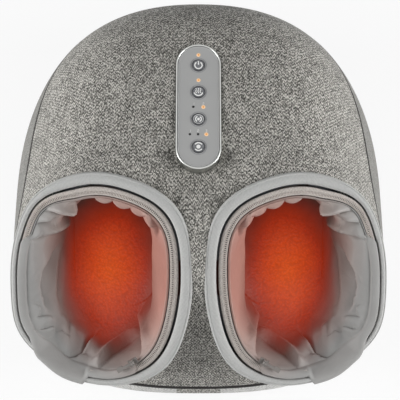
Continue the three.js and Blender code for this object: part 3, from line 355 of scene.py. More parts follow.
def cloth_finish(name, dark, middle, light, yarn, contrast=1.0, chevron=2.4):
    """Woven cloth: each yarn crossing has its own tone, over a herringbone of slanted ribs. The yarn's width
    is in metres, and the herringbone turns every chevron yarns."""
    pick_ratio = 0.75
    rib_yarns = 1.6
    rib_share = 0.36
    clouds_to_a_metre = 55.0
    cloud_share = 0.22
    finish, tree, shader = new_finish(name)
    place = add_node(tree, "ShaderNodeUVMap", uv_map="weave").outputs[0]
    yarns = vector_maths(tree, "MULTIPLY", place, (1 / yarn, pick_ratio / yarn, 0))
    crossing = vector_maths(tree, "FLOOR", yarns)
    speck = add_node(tree, "ShaderNodeTexWhiteNoise", {"Vector": crossing}, noise_dimensions="2D")
    across, along, _ = add_node(tree, "ShaderNodeSeparateXYZ", {0: yarns}).outputs
    diagonal = maths(tree, "ADD", maths(tree, "PINGPONG", across, chevron), along)
    ribs = maths(tree, "PINGPONG", diagonal, rib_yarns)
    rib_tone = maths(tree, "MULTIPLY", ribs, rib_share / rib_yarns)
    tone = maths(tree, "MULTIPLY_ADD", speck.outputs["Value"], 1 - rib_share, rib_tone)
    cloud = add_node(tree, "ShaderNodeTexNoise",
                     {"Vector": place, "Scale": clouds_to_a_metre, "Detail": 3.0}).outputs["Fac"]
    clouded = maths(tree, "MULTIPLY_ADD", cloud, cloud_share, -cloud_share / 2)
    summed = maths(tree, "ADD", tone, clouded)
    centred = maths(tree, "ADD", summed, -0.5)
    ramp = add_node(tree, "ShaderNodeValToRGB", {0: maths(tree, "MULTIPLY_ADD", centred, contrast, 0.5)})
    set_stops(ramp, [(0.1, dark), (0.5, middle), (0.92, light)])
    bump = add_node(tree, "ShaderNodeBump", {"Height": summed, "Strength": 0.5, "Distance": 0.25 * MM})
    tree.links.new(ramp.outputs[0], shader.inputs["Base Color"])
    tree.links.new(bump.outputs[0], shader.inputs["Normal"])
    shader.inputs["Roughness"].default_value = 0.92
    shader.inputs["Specular IOR Level"].default_value = 0.2
    shader.inputs["Sheen Weight"].default_value = 0.08
    return finish


# Heather polyester, woven from mixed light and dark yarns: it shows as matt salt and pepper with fine ribs.
# The real yarn is about 0.5 mm wide; it is drawn 0.85 mm wide, so that it still shows in the render.
heather = cloth_finish("heather_cloth", "3d3c38", "7f7d78", "cfccc5", 0.85 * MM, 1.2)


# Foot openings in the cover
# Each is an oval in a plane that leans back towards the top. The cloth is cut there in line with the shell's
# opening, and glued down under the padded cuff that lies in a shallow seat round it.
cuff_centre = Vector((93 * MM, -114.5 * MM, 135 * MM))
cuff_half_width = 87 * MM
cuff_half_length = 104.5 * MM
cuff_tilt = math.radians(34.4)
cuff_roll = math.radians(9)
cuff_turn = math.radians(2)
hole_inset = 10 * MM
slope = Vector((0, math.cos(cuff_tilt), math.sin(cuff_tilt)))
flat_across = Vector((1, 0, 0))
raw_normal = flat_across.cross(slope)
rolled = flat_across * math.cos(cuff_roll) - raw_normal * math.sin(cuff_roll)
cuff_normal = rolled.cross(slope).normalized()
cuff_across = rolled * math.cos(cuff_turn) - slope * math.sin(cuff_turn)
cuff_along = cuff_normal.cross(cuff_across).normalized()


def wrapped(angle):
    """The same angle between minus half a turn and half a turn."""
    return math.atan2(math.sin(angle), math.cos(angle))


# Each swelling of the oval: its angle in degrees, half its width and how far it bulges.
swellings = [(-28, 18, 7.0), (48, 20, 3.6), (143, 24, 9.5), (-129, 22, 6.0), (-60, 12, 2.6)]


def corner_swell(angle):
    """How far the oval bulges there, because its corners are squarer than an ellipse's."""
    return sum(bulge * MM * math.exp(-(math.degrees(wrapped(angle - math.radians(middle))) / half) ** 2)
               for middle, half, bulge in swellings)


def cuff_point(angle, inset, height):
    """A point by the right cuff's oval: inset from its outer edge and height over its plane."""
    reach = inset - corner_swell(angle)
    return (cuff_centre + cuff_across * (cuff_half_width - reach) * math.cos(angle)
            + cuff_along * (cuff_half_length - reach) * math.sin(angle) + cuff_normal * height)


def mirror_mesh(piece, name):
    """The piece's mirror image on the left side, as a new object."""
    form = bmesh.new()
    form.from_mesh(piece.data)
    bmesh.ops.scale(form, vec=(-1, 1, 1), verts=form.verts)
    bmesh.ops.reverse_faces(form, faces=form.faces)
    twin = finish_mesh(form, name)
    twin.data.materials.clear()
    for finish in piece.data.materials:
        twin.data.materials.append(finish)
    return twin


def oval_plug(inset, bottom, top):
    """A closed oval block under or over the right cuff's plane, to cut with."""
    form = bmesh.new()
    bmesh.ops.create_circle(form, cap_ends=True, segments=160, radius=1)
    base = list(form.faces)
    grown = bmesh.ops.extrude_face_region(form, geom=base)
    lifted = [item for item in grown["geom"] if isinstance(item, bmesh.types.BMVert)]
    tops = set(lifted)
    for vert in form.verts:
        angle = math.atan2(vert.co.y, vert.co.x)
        vert.co = cuff_point(angle, inset, top if vert in tops else bottom)
    bmesh.ops.recalc_face_normals(form, faces=form.faces)
    return finish_mesh(form, "oval_plug", smooth=False)


cover_surface = bmesh.new()
cover_surface.from_mesh(cover.data)
dome_tree = BVHTree.FromBMesh(cover_surface)
cover_surface.free()
seat_gap = 0.3 * MM
seat_depth = 3.6 * MM
cut_top = 60 * MM
right_plug = oval_plug(hole_inset, -90 * MM, cut_top)
left_plug = mirror_mesh(right_plug, "left_plug")
right_seat = oval_plug(-seat_gap, -seat_depth, cut_top)
left_seat = mirror_mesh(right_seat, "left_seat")
for plug in (right_plug, left_plug, right_seat, left_seat):
    carve(cover, plug)


# Panel opening in the cover
# A long slot with round ends, cut through the cloth on the crest. The panel's rim stands in it and hides the
# cloth's raw edge. With it the cover is whole, so its finish and its place in the frame follow.
panel_length = 128.5 * MM
panel_place = 37.25 * MM
panel_width = 43 * MM
panel_top = 202 * MM


def stadium_point(u, inset, height):
    """A point round the panel's outline, with straight sides and half-round ends."""
    radius = panel_width / 2 - inset
    straight = panel_length / 2 - panel_width / 2
    perimeter = TURN * radius + 4 * straight
    along = u * perimeter
    quarter = math.pi * radius
    if along < 2 * straight:
        x, y = radius, -straight + along
    elif along < 2 * straight + quarter:
        turned = (along - 2 * straight) / radius
        x, y = radius * math.cos(turned), straight + radius * math.sin(turned)
    elif along < 4 * straight + quarter:
        x, y = -radius, straight - (along - 2 * straight - quarter)
    else:
        turned = math.pi + (along - 4 * straight - quarter) / radius
        x, y = radius * math.cos(turned), -straight + radius * math.sin(turned)
    return Vector((x, panel_place + y, height))


def stadium_block(name, inset, bottom, top, segments=160):
    """A closed block with the panel's outline."""
    form = bmesh.new()
    bmesh.ops.create_circle(form, cap_ends=True, segments=segments, radius=1)
    order = sorted(form.verts, key=lambda vert: math.atan2(vert.co.y, vert.co.x))
    for i, vert in enumerate(order):
        vert.co = stadium_point(i / segments, inset, bottom)
    grown = bmesh.ops.extrude_face_region(form, geom=list(form.faces))
    lifted = [item for item in grown["geom"] if isinstance(item, bmesh.types.BMVert)]
    bmesh.ops.translate(form, verts=lifted, vec=(0, 0, top - bottom))
    bmesh.ops.recalc_face_normals(form, faces=form.faces)
    return finish_mesh(form, name, smooth=False)


carve(cover, stadium_block("panel_plug", -seat_gap, panel_top - cut_top, panel_top + 40 * MM))
cover.data.materials.append(heather)
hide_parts("upper_fabric_cover")
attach(cover, "case")


# Lower fabric skirt
# Cloth round the base, sewn to the cover at the seam: a heather at the sides and the back, made darker there
# as painted shade, and a plain pale weave in front between the cuffs, with a block of the cover's herringbone
# let in at its middle.
skirt_low = 8 * MM
under_tuck = 9 * MM
hem_share = 0.12
seam_crowding = 1.4
girth_radius = 190 * MM
block_half_width = 23.7 * MM
side_start = math.radians(48.3)


def skirt_place(u, v):
    """v runs from the hem under the edge, out over the belt and up to the seam."""
    angle = TURN * u
    if v < hem_share:
        share = 1 - v / hem_share
        tuck = under_tuck * (1 - math.cos(share * math.pi / 2))
        x, y = outline_point(angle, tuck)
        return Vector((x, y, mix(belt_height, skirt_low, math.sin(share * math.pi / 2))))
    high = seam_share(angle, -seam_half - seam_gap)
    climb = (v - hem_share) / (1 - hem_share)
    return tucked_point(angle, high * (1 - (1 - climb) ** seam_crowding), high)


def skirt_weave(place):
    """Where a point of the skirt lies on its cloth: round the base, and up."""
    angle = math.atan2(place.y, place.x)
    return abs(angle + math.pi / 2) * girth_radius, place.z


skirt = mapped_grid("skirt_cloth", 224, 64, skirt_place, skirt_weave)
# Plain weave of pale polyester, matt and nearly even. Its yarns are drawn 1 mm wide, twice their real width.
skirt_finish = cloth_finish("plain_skirt_cloth", "a8a7a4", "c9c8c5", "dfdedb", 1.0 * MM, 0.8, 40.0)
# The cover's herringbone cut across, with its strongest salt and pepper and narrow ribs.
block_finish = cloth_finish("heather_block", "4b4a46", "8d8b86", "d3d0c9", 0.8 * MM, 1.3, 1.0)
# The same heather, darker: painted shade on the skirt's sides and back, which face away from the front.
shaded_side_finish = cloth_finish("heather_side_cloth_painted_shade", "5f5e5b", "807f7b", "a19f9b", 0.85 * MM, 1.0)
for finish in (skirt_finish, block_finish, shaded_side_finish):
    skirt.data.materials.append(finish)
# Faces at the sides and the back take the darker cloth, the painted shade.
for face in skirt.data.polygons:
    if math.atan2(abs(face.center.x), -face.center.y) > side_start:
        face.material_index = 2
    elif abs(face.center.x) < block_half_width:
        face.material_index = 1
thicken(skirt, cloth_wall)
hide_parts("lower_fabric_skirt")
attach(skirt, "case")


# Seam piping
# A thin round cord with a cover of dark cloth, darker still as painted shade of the seam groove. Its flat
# edge is sewn in between the cover and the skirt, and the cord fills the groove between them all round the
# case.
piping_radius = 1.15 * MM
piping_sunk = 0.9 * MM


def piping_place(u, v):
    """v runs round the cord."""
    angle = TURN * u
    middle = seam_share(angle, 0)
    around = TURN * v
    up = dome_point(angle, middle + 0.01) - dome_point(angle, middle)
    out = Vector(dome_point(angle, middle).xy).normalized().to_3d()
    sunk = dome_point(angle, middle, piping_sunk)
    return (sunk + out * piping_radius * math.cos(around)
            + up.normalized() * piping_radius * math.sin(around))


piping = mapped_grid("seam_piping", 256, 10, piping_place)


def plain_finish(name, colour, roughness, grain=0.0, grain_size=1 * MM, metallic=0.0, spread=0.06):
    """A plain surface: its colour varies by a share, over patches of 25 mm, and its grain is this deep and
    this wide, in metres."""
    patch_size = 25 * MM
    finish, tree, shader = new_finish(name)
    place = add_node(tree, "ShaderNodeTexCoord")
    cloud = add_node(tree, "ShaderNodeTexNoise",
                     {"Vector": place.outputs["Object"], "Scale": 1 / patch_size, "Detail": 4.0})
    base = Vector(linear(colour)[:3])
    ramp = add_node(tree, "ShaderNodeValToRGB", {0: cloud.outputs["Fac"]})
    ramp.color_ramp.elements[0].color = [*(base * (1 - spread)), 1]
    ramp.color_ramp.elements[0].position = 0.3
    ramp.color_ramp.elements[1].color = [*(base * (1 + spread)), 1]
    ramp.color_ramp.elements[1].position = 0.7
    tree.links.new(ramp.outputs[0], shader.inputs["Base Color"])
    if grain:
        fine = add_node(tree, "ShaderNodeTexNoise",
                        {"Vector": place.outputs["Object"], "Scale": 1 / grain_size, "Detail": 2.0})
        bump = add_node(tree, "ShaderNodeBump",
                        {"Height": fine.outputs["Fac"], "Strength": 0.6, "Distance": grain})
        tree.links.new(bump.outputs[0], shader.inputs["Normal"])
    shader.inputs["Roughness"].default_value = roughness
    shader.inputs["Metallic"].default_value = metallic
    return finish


# Dark twill tape, matt with a fine grain. Its near-black colour is partly its own and partly painted shade,
# the shadow in the seam groove, so that it reads as a dark line.
piping.data.materials.append(plain_finish("piping_cloth_and_seam_shade", "2f2d2c", 0.9, 0.1 * MM, 0.8 * MM))
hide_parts("seam_strip")
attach(piping, "case")


# Leg cuffs
# A foam-filled ring of plain grey cloth with a bound outer edge. It lies in the cover's oval seat, and its
# skirt hangs down outside to meet the dome. Below, sizes come in pairs: elsewhere, and along the outer side.
band_full = 12.9
band_widths = (10.8, 5.4)
groove_widths = (2.4, 1.4)
rim_lines = (21.2, 13.2)
tape_edges = (13.4, 21.2)
# The ring's section as insets from the cuff's outer edge and heights over its plane, in millimetres.
cuff_profile = [
    (0.4, -5.4), (-0.5, -3.6), (-0.9, -1.4), (-0.7, 0.5), (0.1, 1.5), (1.0, 1.4), (1.5, 0.8), (2.2, 1.3),
    (3.6, 2.1), (5.6, 2.6), (7.8, 2.6), (9.8, 2.0), (11.6, 1.1), (12.7, -0.3), (12.9, -2.4), (12.6, -5.4),
]
under_flap = 12 * MM
# Stretches of the oval in degrees: where each starts, how soon it is full, how soon it fades, where it ends.
# Along outer_side the band is drawn tight and looks half as wide. Along flap_side the sleeve's flap lies over
# the zip and the ring: it is cut sharp at the hem, and starts earlier and slower further down the sleeve.
outer_side = (-142, 52, 34, 76)
flap_side = (-78, 2.5, 14, -32)
lower_flap_side = (-92, 24.5, 14, -32)


def side_share(angle, side):
    """1 along that stretch of the oval and 0 elsewhere, with a soft start and end."""
    start, rise, fall, end = side
    turned = math.degrees(wrapped(angle))
    return smooth_step((turned - start) / rise) * smooth_step((end - turned) / fall)


def rim_line(angle):
    """The inset of the zip's inner edge, where the sleeve starts."""
    return mix(*rim_lines, side_share(angle, outer_side)) * MM


def tape_line(angle, inset):
    """The inset of a line of the zip, which narrows with the band."""
    slim = side_share(angle, outer_side)
    start = mix(*band_widths, slim) + mix(*groove_widths, slim)
    share = (inset / MM - tape_edges[0]) / (tape_edges[1] - tape_edges[0])
    return mix(start, mix(*rim_lines, slim), share) * MM


def cuff_place(u, v):
    """v runs round the ring's section."""
    angle = TURN * u
    inset, height = cuff_profile[round(v * len(cuff_profile)) % len(cuff_profile)]
    narrowed = mix(*band_widths, side_share(angle, outer_side)) / band_full
    return cuff_point(angle, inset * MM * (narrowed if inset > 0 else 1), height * MM)


def flap_sink(angle):
    """How far the zip is pressed down where the flap lies over it."""
    return under_flap * clamp(1.6 * side_share(angle, flap_side))


def ring_place(profile):
    """A closed profile of (inset, height) in millimetres, carried round inside the right cuff's band."""
    def place(u, v):
        angle = TURN * u
        inset, height = profile[round(v * len(profile)) % len(profile)]
        return cuff_point(angle, tape_line(angle, inset * MM), height * MM - flap_sink(angle))
    return place


def cloth_metres(place):
    """Where a point near the cuff lies, laid flat in the cuff's plane."""
    away = place - cuff_centre
    return away.dot(cuff_across), away.dot(cuff_along)


def smooth_once(piece):
    """One level of subdivision, made part of the mesh."""
    smooth = piece.modifiers.new("smooth", "SUBSURF")
    smooth.levels = 1
    smooth.render_levels = 1
    apply_modifiers(piece)


cuff_steps = 180
cuff = mapped_grid("right_cuff_ring", cuff_steps, len(cuff_profile), cuff_place, cloth_metres)
# Plain-weave polyester over foam: smooth and nearly even, with a weave too fine to see.
cuff_finish = cloth_finish("plain_cuff_cloth", "a7a7a5", "b3b3b1", "bfbfbd", 1.0 * MM, 0.35, 60.0)
cuff.data.materials.append(cuff_finish)
smooth_once(cuff)
collar_lean = 0.36
collar_top = 4.5 * MM
collar_inset = 0.6 * MM
collar_least = 6 * MM
collar_reach = 64


def collar_depth(angle):
    """How far the cuff's hanging skirt reaches before it meets the dome."""
    for step in range(collar_reach + 1):
        place = cuff_point(angle, collar_lean * step * MM, -step * MM)
        hit = dome_tree.ray_cast(Vector((place.x, place.y, 0.5)), Vector((0, 0, -1)))
        if hit[0] is not None and place.z < hit[0].z - 1 * MM:
            return step * MM
    return collar_reach * MM


collar_depths = [collar_depth(TURN * i / cuff_steps) for i in range(cuff_steps)]


def collar_place(u, v):
    """v runs from under the ring down to the dome."""
    depth = max(collar_least, collar_depths[round(u * cuff_steps) % cuff_steps])
    height = mix(-collar_top, -depth, v)
    return cuff_point(TURN * u, collar_inset + collar_lean * (-height - collar_top), height)


collar = mapped_grid("right_cuff_skirt", cuff_steps, 12, collar_place, cloth_metres)
collar.data.materials.append(cuff_finish)
thicken(collar, 1.6 * MM)
left_cuff = mirror_mesh(cuff, "left_cuff_ring")
left_collar = mirror_mesh(collar, "left_cuff_skirt")
for ring, hanging, side in ((cuff, collar, "right"), (left_cuff, left_collar, "left")):
    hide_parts(side + "_leg_cuff")
    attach(ring, "case")
    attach(hanging, "case")


# Zips
# Two woven polyester tapes with a nylon coil between them, so that the sleeve can be taken out and washed.
# The outer tape is sewn to the ring and the inner one to the sleeve. The slider and its pull stay the CAD's.
tape_profile = [(13.3, -1.4), (13.5, -0.3), (15.4, 0.0), (17.3, 0.1), (17.5, -0.4), (17.3, -1.4)]
inner_profile = [(19.3, -1.4), (19.1, -0.4), (19.3, 0.1), (20.2, 0.0), (21.0, -0.3), (21.1, -1.4)]
tooth_pitch = 1.6 * MM
tooth_size = (0.9 * MM, 2.1 * MM, 0.9 * MM)
coil_inset = 18.3 * MM
coil_height = 0.2 * MM
# Woven tape, which shows as faint ribs. Its colour is a little warmer than the cuff's: the glow's red light
# on it, painted in.
tape_finish = cloth_finish("zip_tape_cloth", "a09a95", "b8b0aa", "cac3bd", 0.9 * MM, 0.6, 30.0)
# Drawn nylon wire, smooth with a soft gloss.
coil_finish = plain_finish("nylon_coil", "c4bbb4", 0.45)


def coil_form():
    """Every tooth of the coil as one mesh: short bars across the gap between the tapes."""
    form = bmesh.new()
    length = TURN * (cuff_half_width + cuff_half_length - 2 * coil_inset) / 2
    count = int(length / tooth_pitch)
    for i in range(count):
        angle = TURN * i / count
        height = coil_height - flap_sink(angle)
        at = cuff_point(angle, tape_line(angle, coil_inset), height)
        ahead = (cuff_point(angle + 0.01, tape_line(angle + 0.01, coil_inset), height) - at).normalized()
        side = cuff_normal.cross(ahead)
        placed = Matrix((ahead, side, cuff_normal)).transposed().to_4x4()
        placed.translation = at
        made = bmesh.ops.create_cube(form, size=1, matrix=placed @ Matrix.Diagonal((*tooth_size, 1)))
        edges = {edge for vert in made["verts"] for edge in vert.link_edges
                 if abs((edge.verts[0].co - edge.verts[1].co).normalized().dot(side)) > 0.9}
        bmesh.ops.bevel(form, geom=list(edges), offset=0.2 * MM, segments=1, affect="EDGES", profile=0.5,
                        material=-1)
    return form


right_zip = [
    mapped_grid("right_zip_outer_tape", 160, 6, ring_place(tape_profile), cloth_metres),
    mapped_grid("right_zip_inner_tape", 160, 6, ring_place(inner_profile), cloth_metres),
    finish_mesh(coil_form(), "right_zip_coil", smooth=False),
]
for piece, finish in zip(right_zip, (tape_finish, tape_finish, coil_finish)):
    piece.data.materials.append(finish)
left_zip = [mirror_mesh(piece, piece.name.replace("right", "left")) for piece in right_zip]
for pieces, side in ((right_zip, "right"), (left_zip, "left")):
    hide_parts(side + "_zip_tape")
    for piece in pieces:
        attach(piece, "case")


# Foot sleeves
# Thin grey nylon, cut as a loose boot and gathered at the zip, so that it hangs in folds: scallops under the
# top edge, pleats in the outer corner, a long soft fold down the outer wall and creases across the heel.
rim_inset = 21.2 * MM
sole_lift = 58 * MM
heel_reach = 166 * MM
toe_reach = 104 * MM
toe_rise = 40 * MM
heel_round = 14 * MM
knead_x = 87.5 * MM
knead_rows = (-32 * MM, -107 * MM)
sole_half_width = 56 * MM
toe_half_width = 44 * MM
toe_cap = 10 * MM
toe_share = 0.96
knead_mound = 6 * MM
knead_spread = 34 * MM
# How square the section is on each side, and the shares of the length by which it is square, where it starts
# to narrow to the toe, and where the rim's own shape is left behind.
section_powers = {"inner": 2.8, "outer": 1.8, "above": 2.5}
square_by = 0.3
toe_from = 0.6
rim_until = 0.07
# Where along the length the gathers are full, where they end and how soon they fade there.
gathers_full = 0.03
gathers_end = 0.075
gathers_fade = 0.025


def curve_through(points, samples=200):
    """A smooth curve through the points, as many points spaced evenly along it."""
    data = bpy.data.curves.new("path", "CURVE")
    data.dimensions = "3D"
    data.resolution_u = 32
    spline = data.splines.new("BEZIER")
    spline.bezier_points.add(len(points) - 1)
    for bezier, point in zip(spline.bezier_points, points):
        bezier.co = point
        bezier.handle_left_type = "AUTO"
        bezier.handle_right_type = "AUTO"
    holder = bpy.data.objects.new("path", data)
    bpy.context.scene.collection.objects.link(holder)
    bpy.context.view_layer.update()
    mesh = bpy.data.meshes.new_from_object(holder.evaluated_get(bpy.context.evaluated_depsgraph_get()))
    line = [vert.co.copy() for vert in mesh.vertices]
    bpy.data.objects.remove(holder)
    lengths = [0.0]
    for a, b in zip(line, line[1:]):
        lengths.append(lengths[-1] + (b - a).length)
    even = []
    index = 0
    for i in range(samples + 1):
        wanted = lengths[-1] * i / samples
        while index < len(line) - 2 and lengths[index + 1] < wanted:
            index += 1
        span = max(1e-9, lengths[index + 1] - lengths[index])
        even.append(line[index].lerp(line[index + 1], clamp((wanted - lengths[index]) / span)))
    return even


def curve_at(even, share):
    """The point at that share of an evenly spaced line."""
    place = clamp(share) * (len(even) - 1)
    index = min(len(even) - 2, int(place))
    return even[index].lerp(even[index + 1], place - index)


bottom_path = curve_through([
    cuff_point(-math.pi / 2, rim_inset, 0),
    Vector((knead_x, -heel_reach, sole_lift + heel_round / 2)),
    Vector((knead_x, -heel_reach + heel_round, sole_lift)),
    Vector((knead_x, -heel_reach / 2, sole_lift)),
    Vector((knead_x, 0, sole_lift)),
    Vector((knead_x, toe_reach, sole_lift)),
])
top_path = curve_through([
    cuff_point(math.pi / 2, rim_inset, 0),
    Vector((cuff_centre.x, 24 * MM, 143 * MM)),
    Vector((cuff_centre.x, toe_reach, sole_lift + toe_rise)),
])


def section_power(angle):
    """How square the sleeve's section is there: fuller on the inner side and above than on the outer side."""
    side = mix(section_powers["inner"], section_powers["outer"], smooth_step((1 + math.cos(angle)) / 2))
    return mix(side, section_powers["above"], smooth_step(math.sin(angle)))


# Each gather under the top edge: its angle, half its width and how far it hangs.
gathers = [(97, 9, 9.0), (113, 9, 9.5), (127, 7, 8.0), (139, 6, 4.0)]
# Each slack stretch of wall: its angle, half its width, where its crest lies, how wide that is before and
# after, as shares of the length, and how far it stands in.
slacks = [
    (-62, 30, 0.09, 0.08, 0.3, 13.0), (-175, 44, 0.13, 0.07, 0.06, 15.0), (10, 42, 0.42, 0.3, 0.16, 15.0),
    (60, 26, 0.16, 0.12, 0.12, 16.0), (-22, 20, 0.12, 0.1, 0.2, 7.0),
]


def fold_reach(share, angle):
    """How far the gathers and slack stretches stand in from the sleeve's plain shape."""
    turned = math.degrees(wrapped(angle))
    hang = smooth_step(share / gathers_full) * smooth_step((gathers_end - share) / gathers_fade)
    lobes = [0.0]
    for middle, half, depth in gathers:
        away = abs(turned - middle) / half
        if away < 1:
            lobes.append(depth * MM * (1 - 0.6 * away * away) * smooth_step((1 - away) / 0.2))
    drawn = hang * max(lobes)
    for middle, half, crest, before, after, depth in slacks:
        away = math.degrees(wrapped(angle - math.radians(middle))) / half
        along = (share - crest) / (before if share < crest else after)
        drawn += depth * MM * math.exp(-away * away - along * along) * smooth_step(share / 0.02)
    return drawn


def sleeve_point(share, angle, out):
    """A point of the sleeve without its sharp folds: share runs from the rim to the toe, and the point lies
    this far outside the cloth's inner face."""
    low = curve_at(bottom_path, share)
    high = curve_at(top_path, share)
    along = high - low
    half_height = along.length / 2
    along.normalize()
    square = smooth_step(share / square_by)
    across = cuff_across.lerp(flat_across, square).normalized()
    toe = smooth_step((share - toe_from) / (1 - toe_from))
    half_span = mix(mix(cuff_half_width - rim_inset, sole_half_width, square), toe_half_width, toe)
    power = mix(2.0, section_power(angle), square)
    c = math.cos(angle)
    s = math.sin(angle)
    spread = (abs(c) ** power + abs(s) ** power) ** (1 / power)
    rim = corner_swell(angle) + rim_inset - rim_line(angle)
    reach = out - fold_reach(share, angle) + rim * (1 - smooth_step(share / rim_until))
    place = (low.lerp(high, 0.5) + across * (half_span + reach) * c / spread
             + along * (half_height + reach) * s / spread)
    under = clamp(-s / spread) ** 2 * square
    for row in knead_rows:
        away = ((place.x - knead_x) ** 2 + (place.y - row) ** 2) / knead_spread ** 2
        place.z += knead_mound * math.exp(-away) * under
    return place


# The hem is pulled out over the zip along zip_side. Its inset, the radius of its roll and the height of its
# crest are given beside the zip, over the zip and over the ring.
zip_side = (-116, 5, 8, 30)
hem_insets = (21.9 * MM, 13.6 * MM, -1.8 * MM)
hem_rolls = (2.0 * MM, 0.8 * MM, 0.0)
hem_crests = (-0.9 * MM, 1.8 * MM, 4.6 * MM)


def hem_size(sizes, over_zip, over_ring):
    """The size beside the zip, over it or over the ring, wherever the hem lies."""
    return mix(mix(sizes[0], sizes[1], over_zip), sizes[2], over_ring)


def lip_inset(angle):
    """Where the sleeve's hem lies: inside the zip, but pulled out over the zip and the ring at the front."""
    over_zip = side_share(angle, zip_side)
    over_ring = side_share(angle, flap_side)
    beside = tape_line(angle, mix(hem_insets[0], hem_insets[1], over_zip))
    return mix(beside, hem_insets[2], over_ring), over_zip, over_ring


# Each sharp fold: the points it runs through in millimetres, how high the cloth stands on its left and how
# far that reaches, how deep the hollow on its right is and how wide, and the shares where it starts and ends.
folds = [
    ([(136, -185, 81), (127, -175, 76), (118, -168, 77), (108, -159, 79), (99, -145, 66), (93, -139, 63)],
     4.0, 8, 18.0, 5.0, 0.04, 0.5),
    ([(51, -132, 72), (61, -145, 68), (69, -152, 65), (78, -159, 67), (94, -178, 80), (103, -187, 81),
      (114, -199, 78)], 9.0, 6, 4.0, 8.0, 0.3, 0.08),
    ([(137, -143, 91), (144, -145, 93), (151, -147, 96), (160, -147, 98), (167, -144, 104)],
     10.0, 5.5, 12.0, 3.6, 0.4, 0.25),
    ([(152, -136, 100), (157, -140, 101), (162, -137, 104), (166, -136, 108), (170, -130, 113)],
     9.0, 5, 9.0, 3.8, 0.4, 0.25),
    ([(136, -148, 87), (142, -152, 87), (148, -156, 88), (153, -158, 92), (158, -157, 95), (165, -153, 98)],
     8.0, 4.5, 12.0, 3.6, 0.3, 0.25),
    ([(128, -169, 79), (132, -160, 81), (134, -153, 84), (134, -146, 87), (136, -136, 95)],
     8.0, 7, 11.0, 4.4, 0.3, 0.4),
    ([(118, -166, 79), (123, -153, 84), (127, -138, 86)], 4.0, 5, 5.0, 4.5, 0.4, 0.4),
    ([(137, -66, 110), (146, -87, 118), (151, -99, 120), (153, -109, 116), (153, -116, 112), (150, -125, 105),
      (140, -137, 96)], 6.0, 14, 9.0, 10.0, 0.4, 0.3),
    ([(129, -52, 96), (135, -74, 105), (138, -93, 102), (138, -113, 99), (133, -131, 92)],
     4.0, 7, 5.0, 7.0, 0.4, 0.4),
    ([(118, -52, 157), (126, -53, 159), (134, -54, 162), (140, -54, 166), (152, -57, 172)],
     13.0, 9, 5.0, 4.0, 0.02, 0.4),
    ([(122, -52, 150), (131, -55, 158), (138, -57, 159), (145, -61, 157), (150, -63, 158), (158, -68, 160)],
     10.0, 6, 6.0, 4.0, 0.04, 0.3),
    ([(126, -33, 80), (132, -51, 116), (137, -60, 129), (142, -68, 141), (148, -71, 144), (156, -76, 147),
      (166, -82, 148)], 12.0, 9, 7.0, 4.4, 0.2, 0.25),
    ([(50, -58, 184), (43, -69, 172), (40, -80, 152)], 5.0, 5, 6.0, 4.0, 0.3, 0.4),
    ([(60, -184, 94), (54, -170, 91), (54, -153, 79), (57, -134, 68), (52, -108, 66)],
     9.0, 11, 5.0, 8.0, 0.3, 0.3),
]
fold_samples = 48
fold_end_reach = 2.5 * MM
fold_edge = 1.4
fold_centre = Vector((knead_x, -90 * MM, 45 * MM))
fold_curves = []
for points, *sizes in folds:
    fold_line = curve_through([Vector(point) * MM for point in points], fold_samples)
    fold_tree = KDTree(fold_samples + 1)
    for number, point in enumerate(fold_line):
        fold_tree.insert(point, number)
    fold_tree.balance()
    fold_curves.append((fold_line, fold_tree, sizes))


def fold_lift(place):
    """How the sharp folds move the cloth at a place: in towards the foot beside a fold, out in its hollow."""
    inwards = Vector((fold_centre.x - place.x, fold_centre.y - place.y, fold_centre.z)).normalized()
    lift = 0.0
    for line, tree, (height, reach, depth, width, starts, ends) in fold_curves:
        near, number, far = tree.find(place)
        if far > 2.6 * max(reach, width) * MM:
            continue
        tangent = (line[min(fold_samples, number + 1)] - line[max(0, number - 1)]).normalized()
        away = place - near
        beyond = away.dot(tangent)
        away -= tangent * beyond
        side = away.dot(inwards.cross(tangent)) / MM
        share = number / fold_samples
        fade = smooth_step(share / starts) * smooth_step((1 - share) / ends)
        fade *= math.exp(-(beyond / fold_end_reach) ** 2)
        raised = smooth_step((side + fold_edge) / (2 * fold_edge))
        away = away.length / MM
        lift += fade * (raised * height * math.exp(-(away / reach) ** 2)
                        - (1 - raised) * depth * math.exp(-(away / width) ** 2))
    return inwards * lift * MM


droop = 9 * MM
droop_until = 0.16
lip = 0.09
lip_dip = 1.2 * MM
notch_depth = 1.1 * MM
notch_share = 0.004
length_crowding = 1.7
# The small wrinkles all over the cloth: how many to a metre, and how strong.
wrinkle_bands = ((28, 1.6), (70, 0.7))


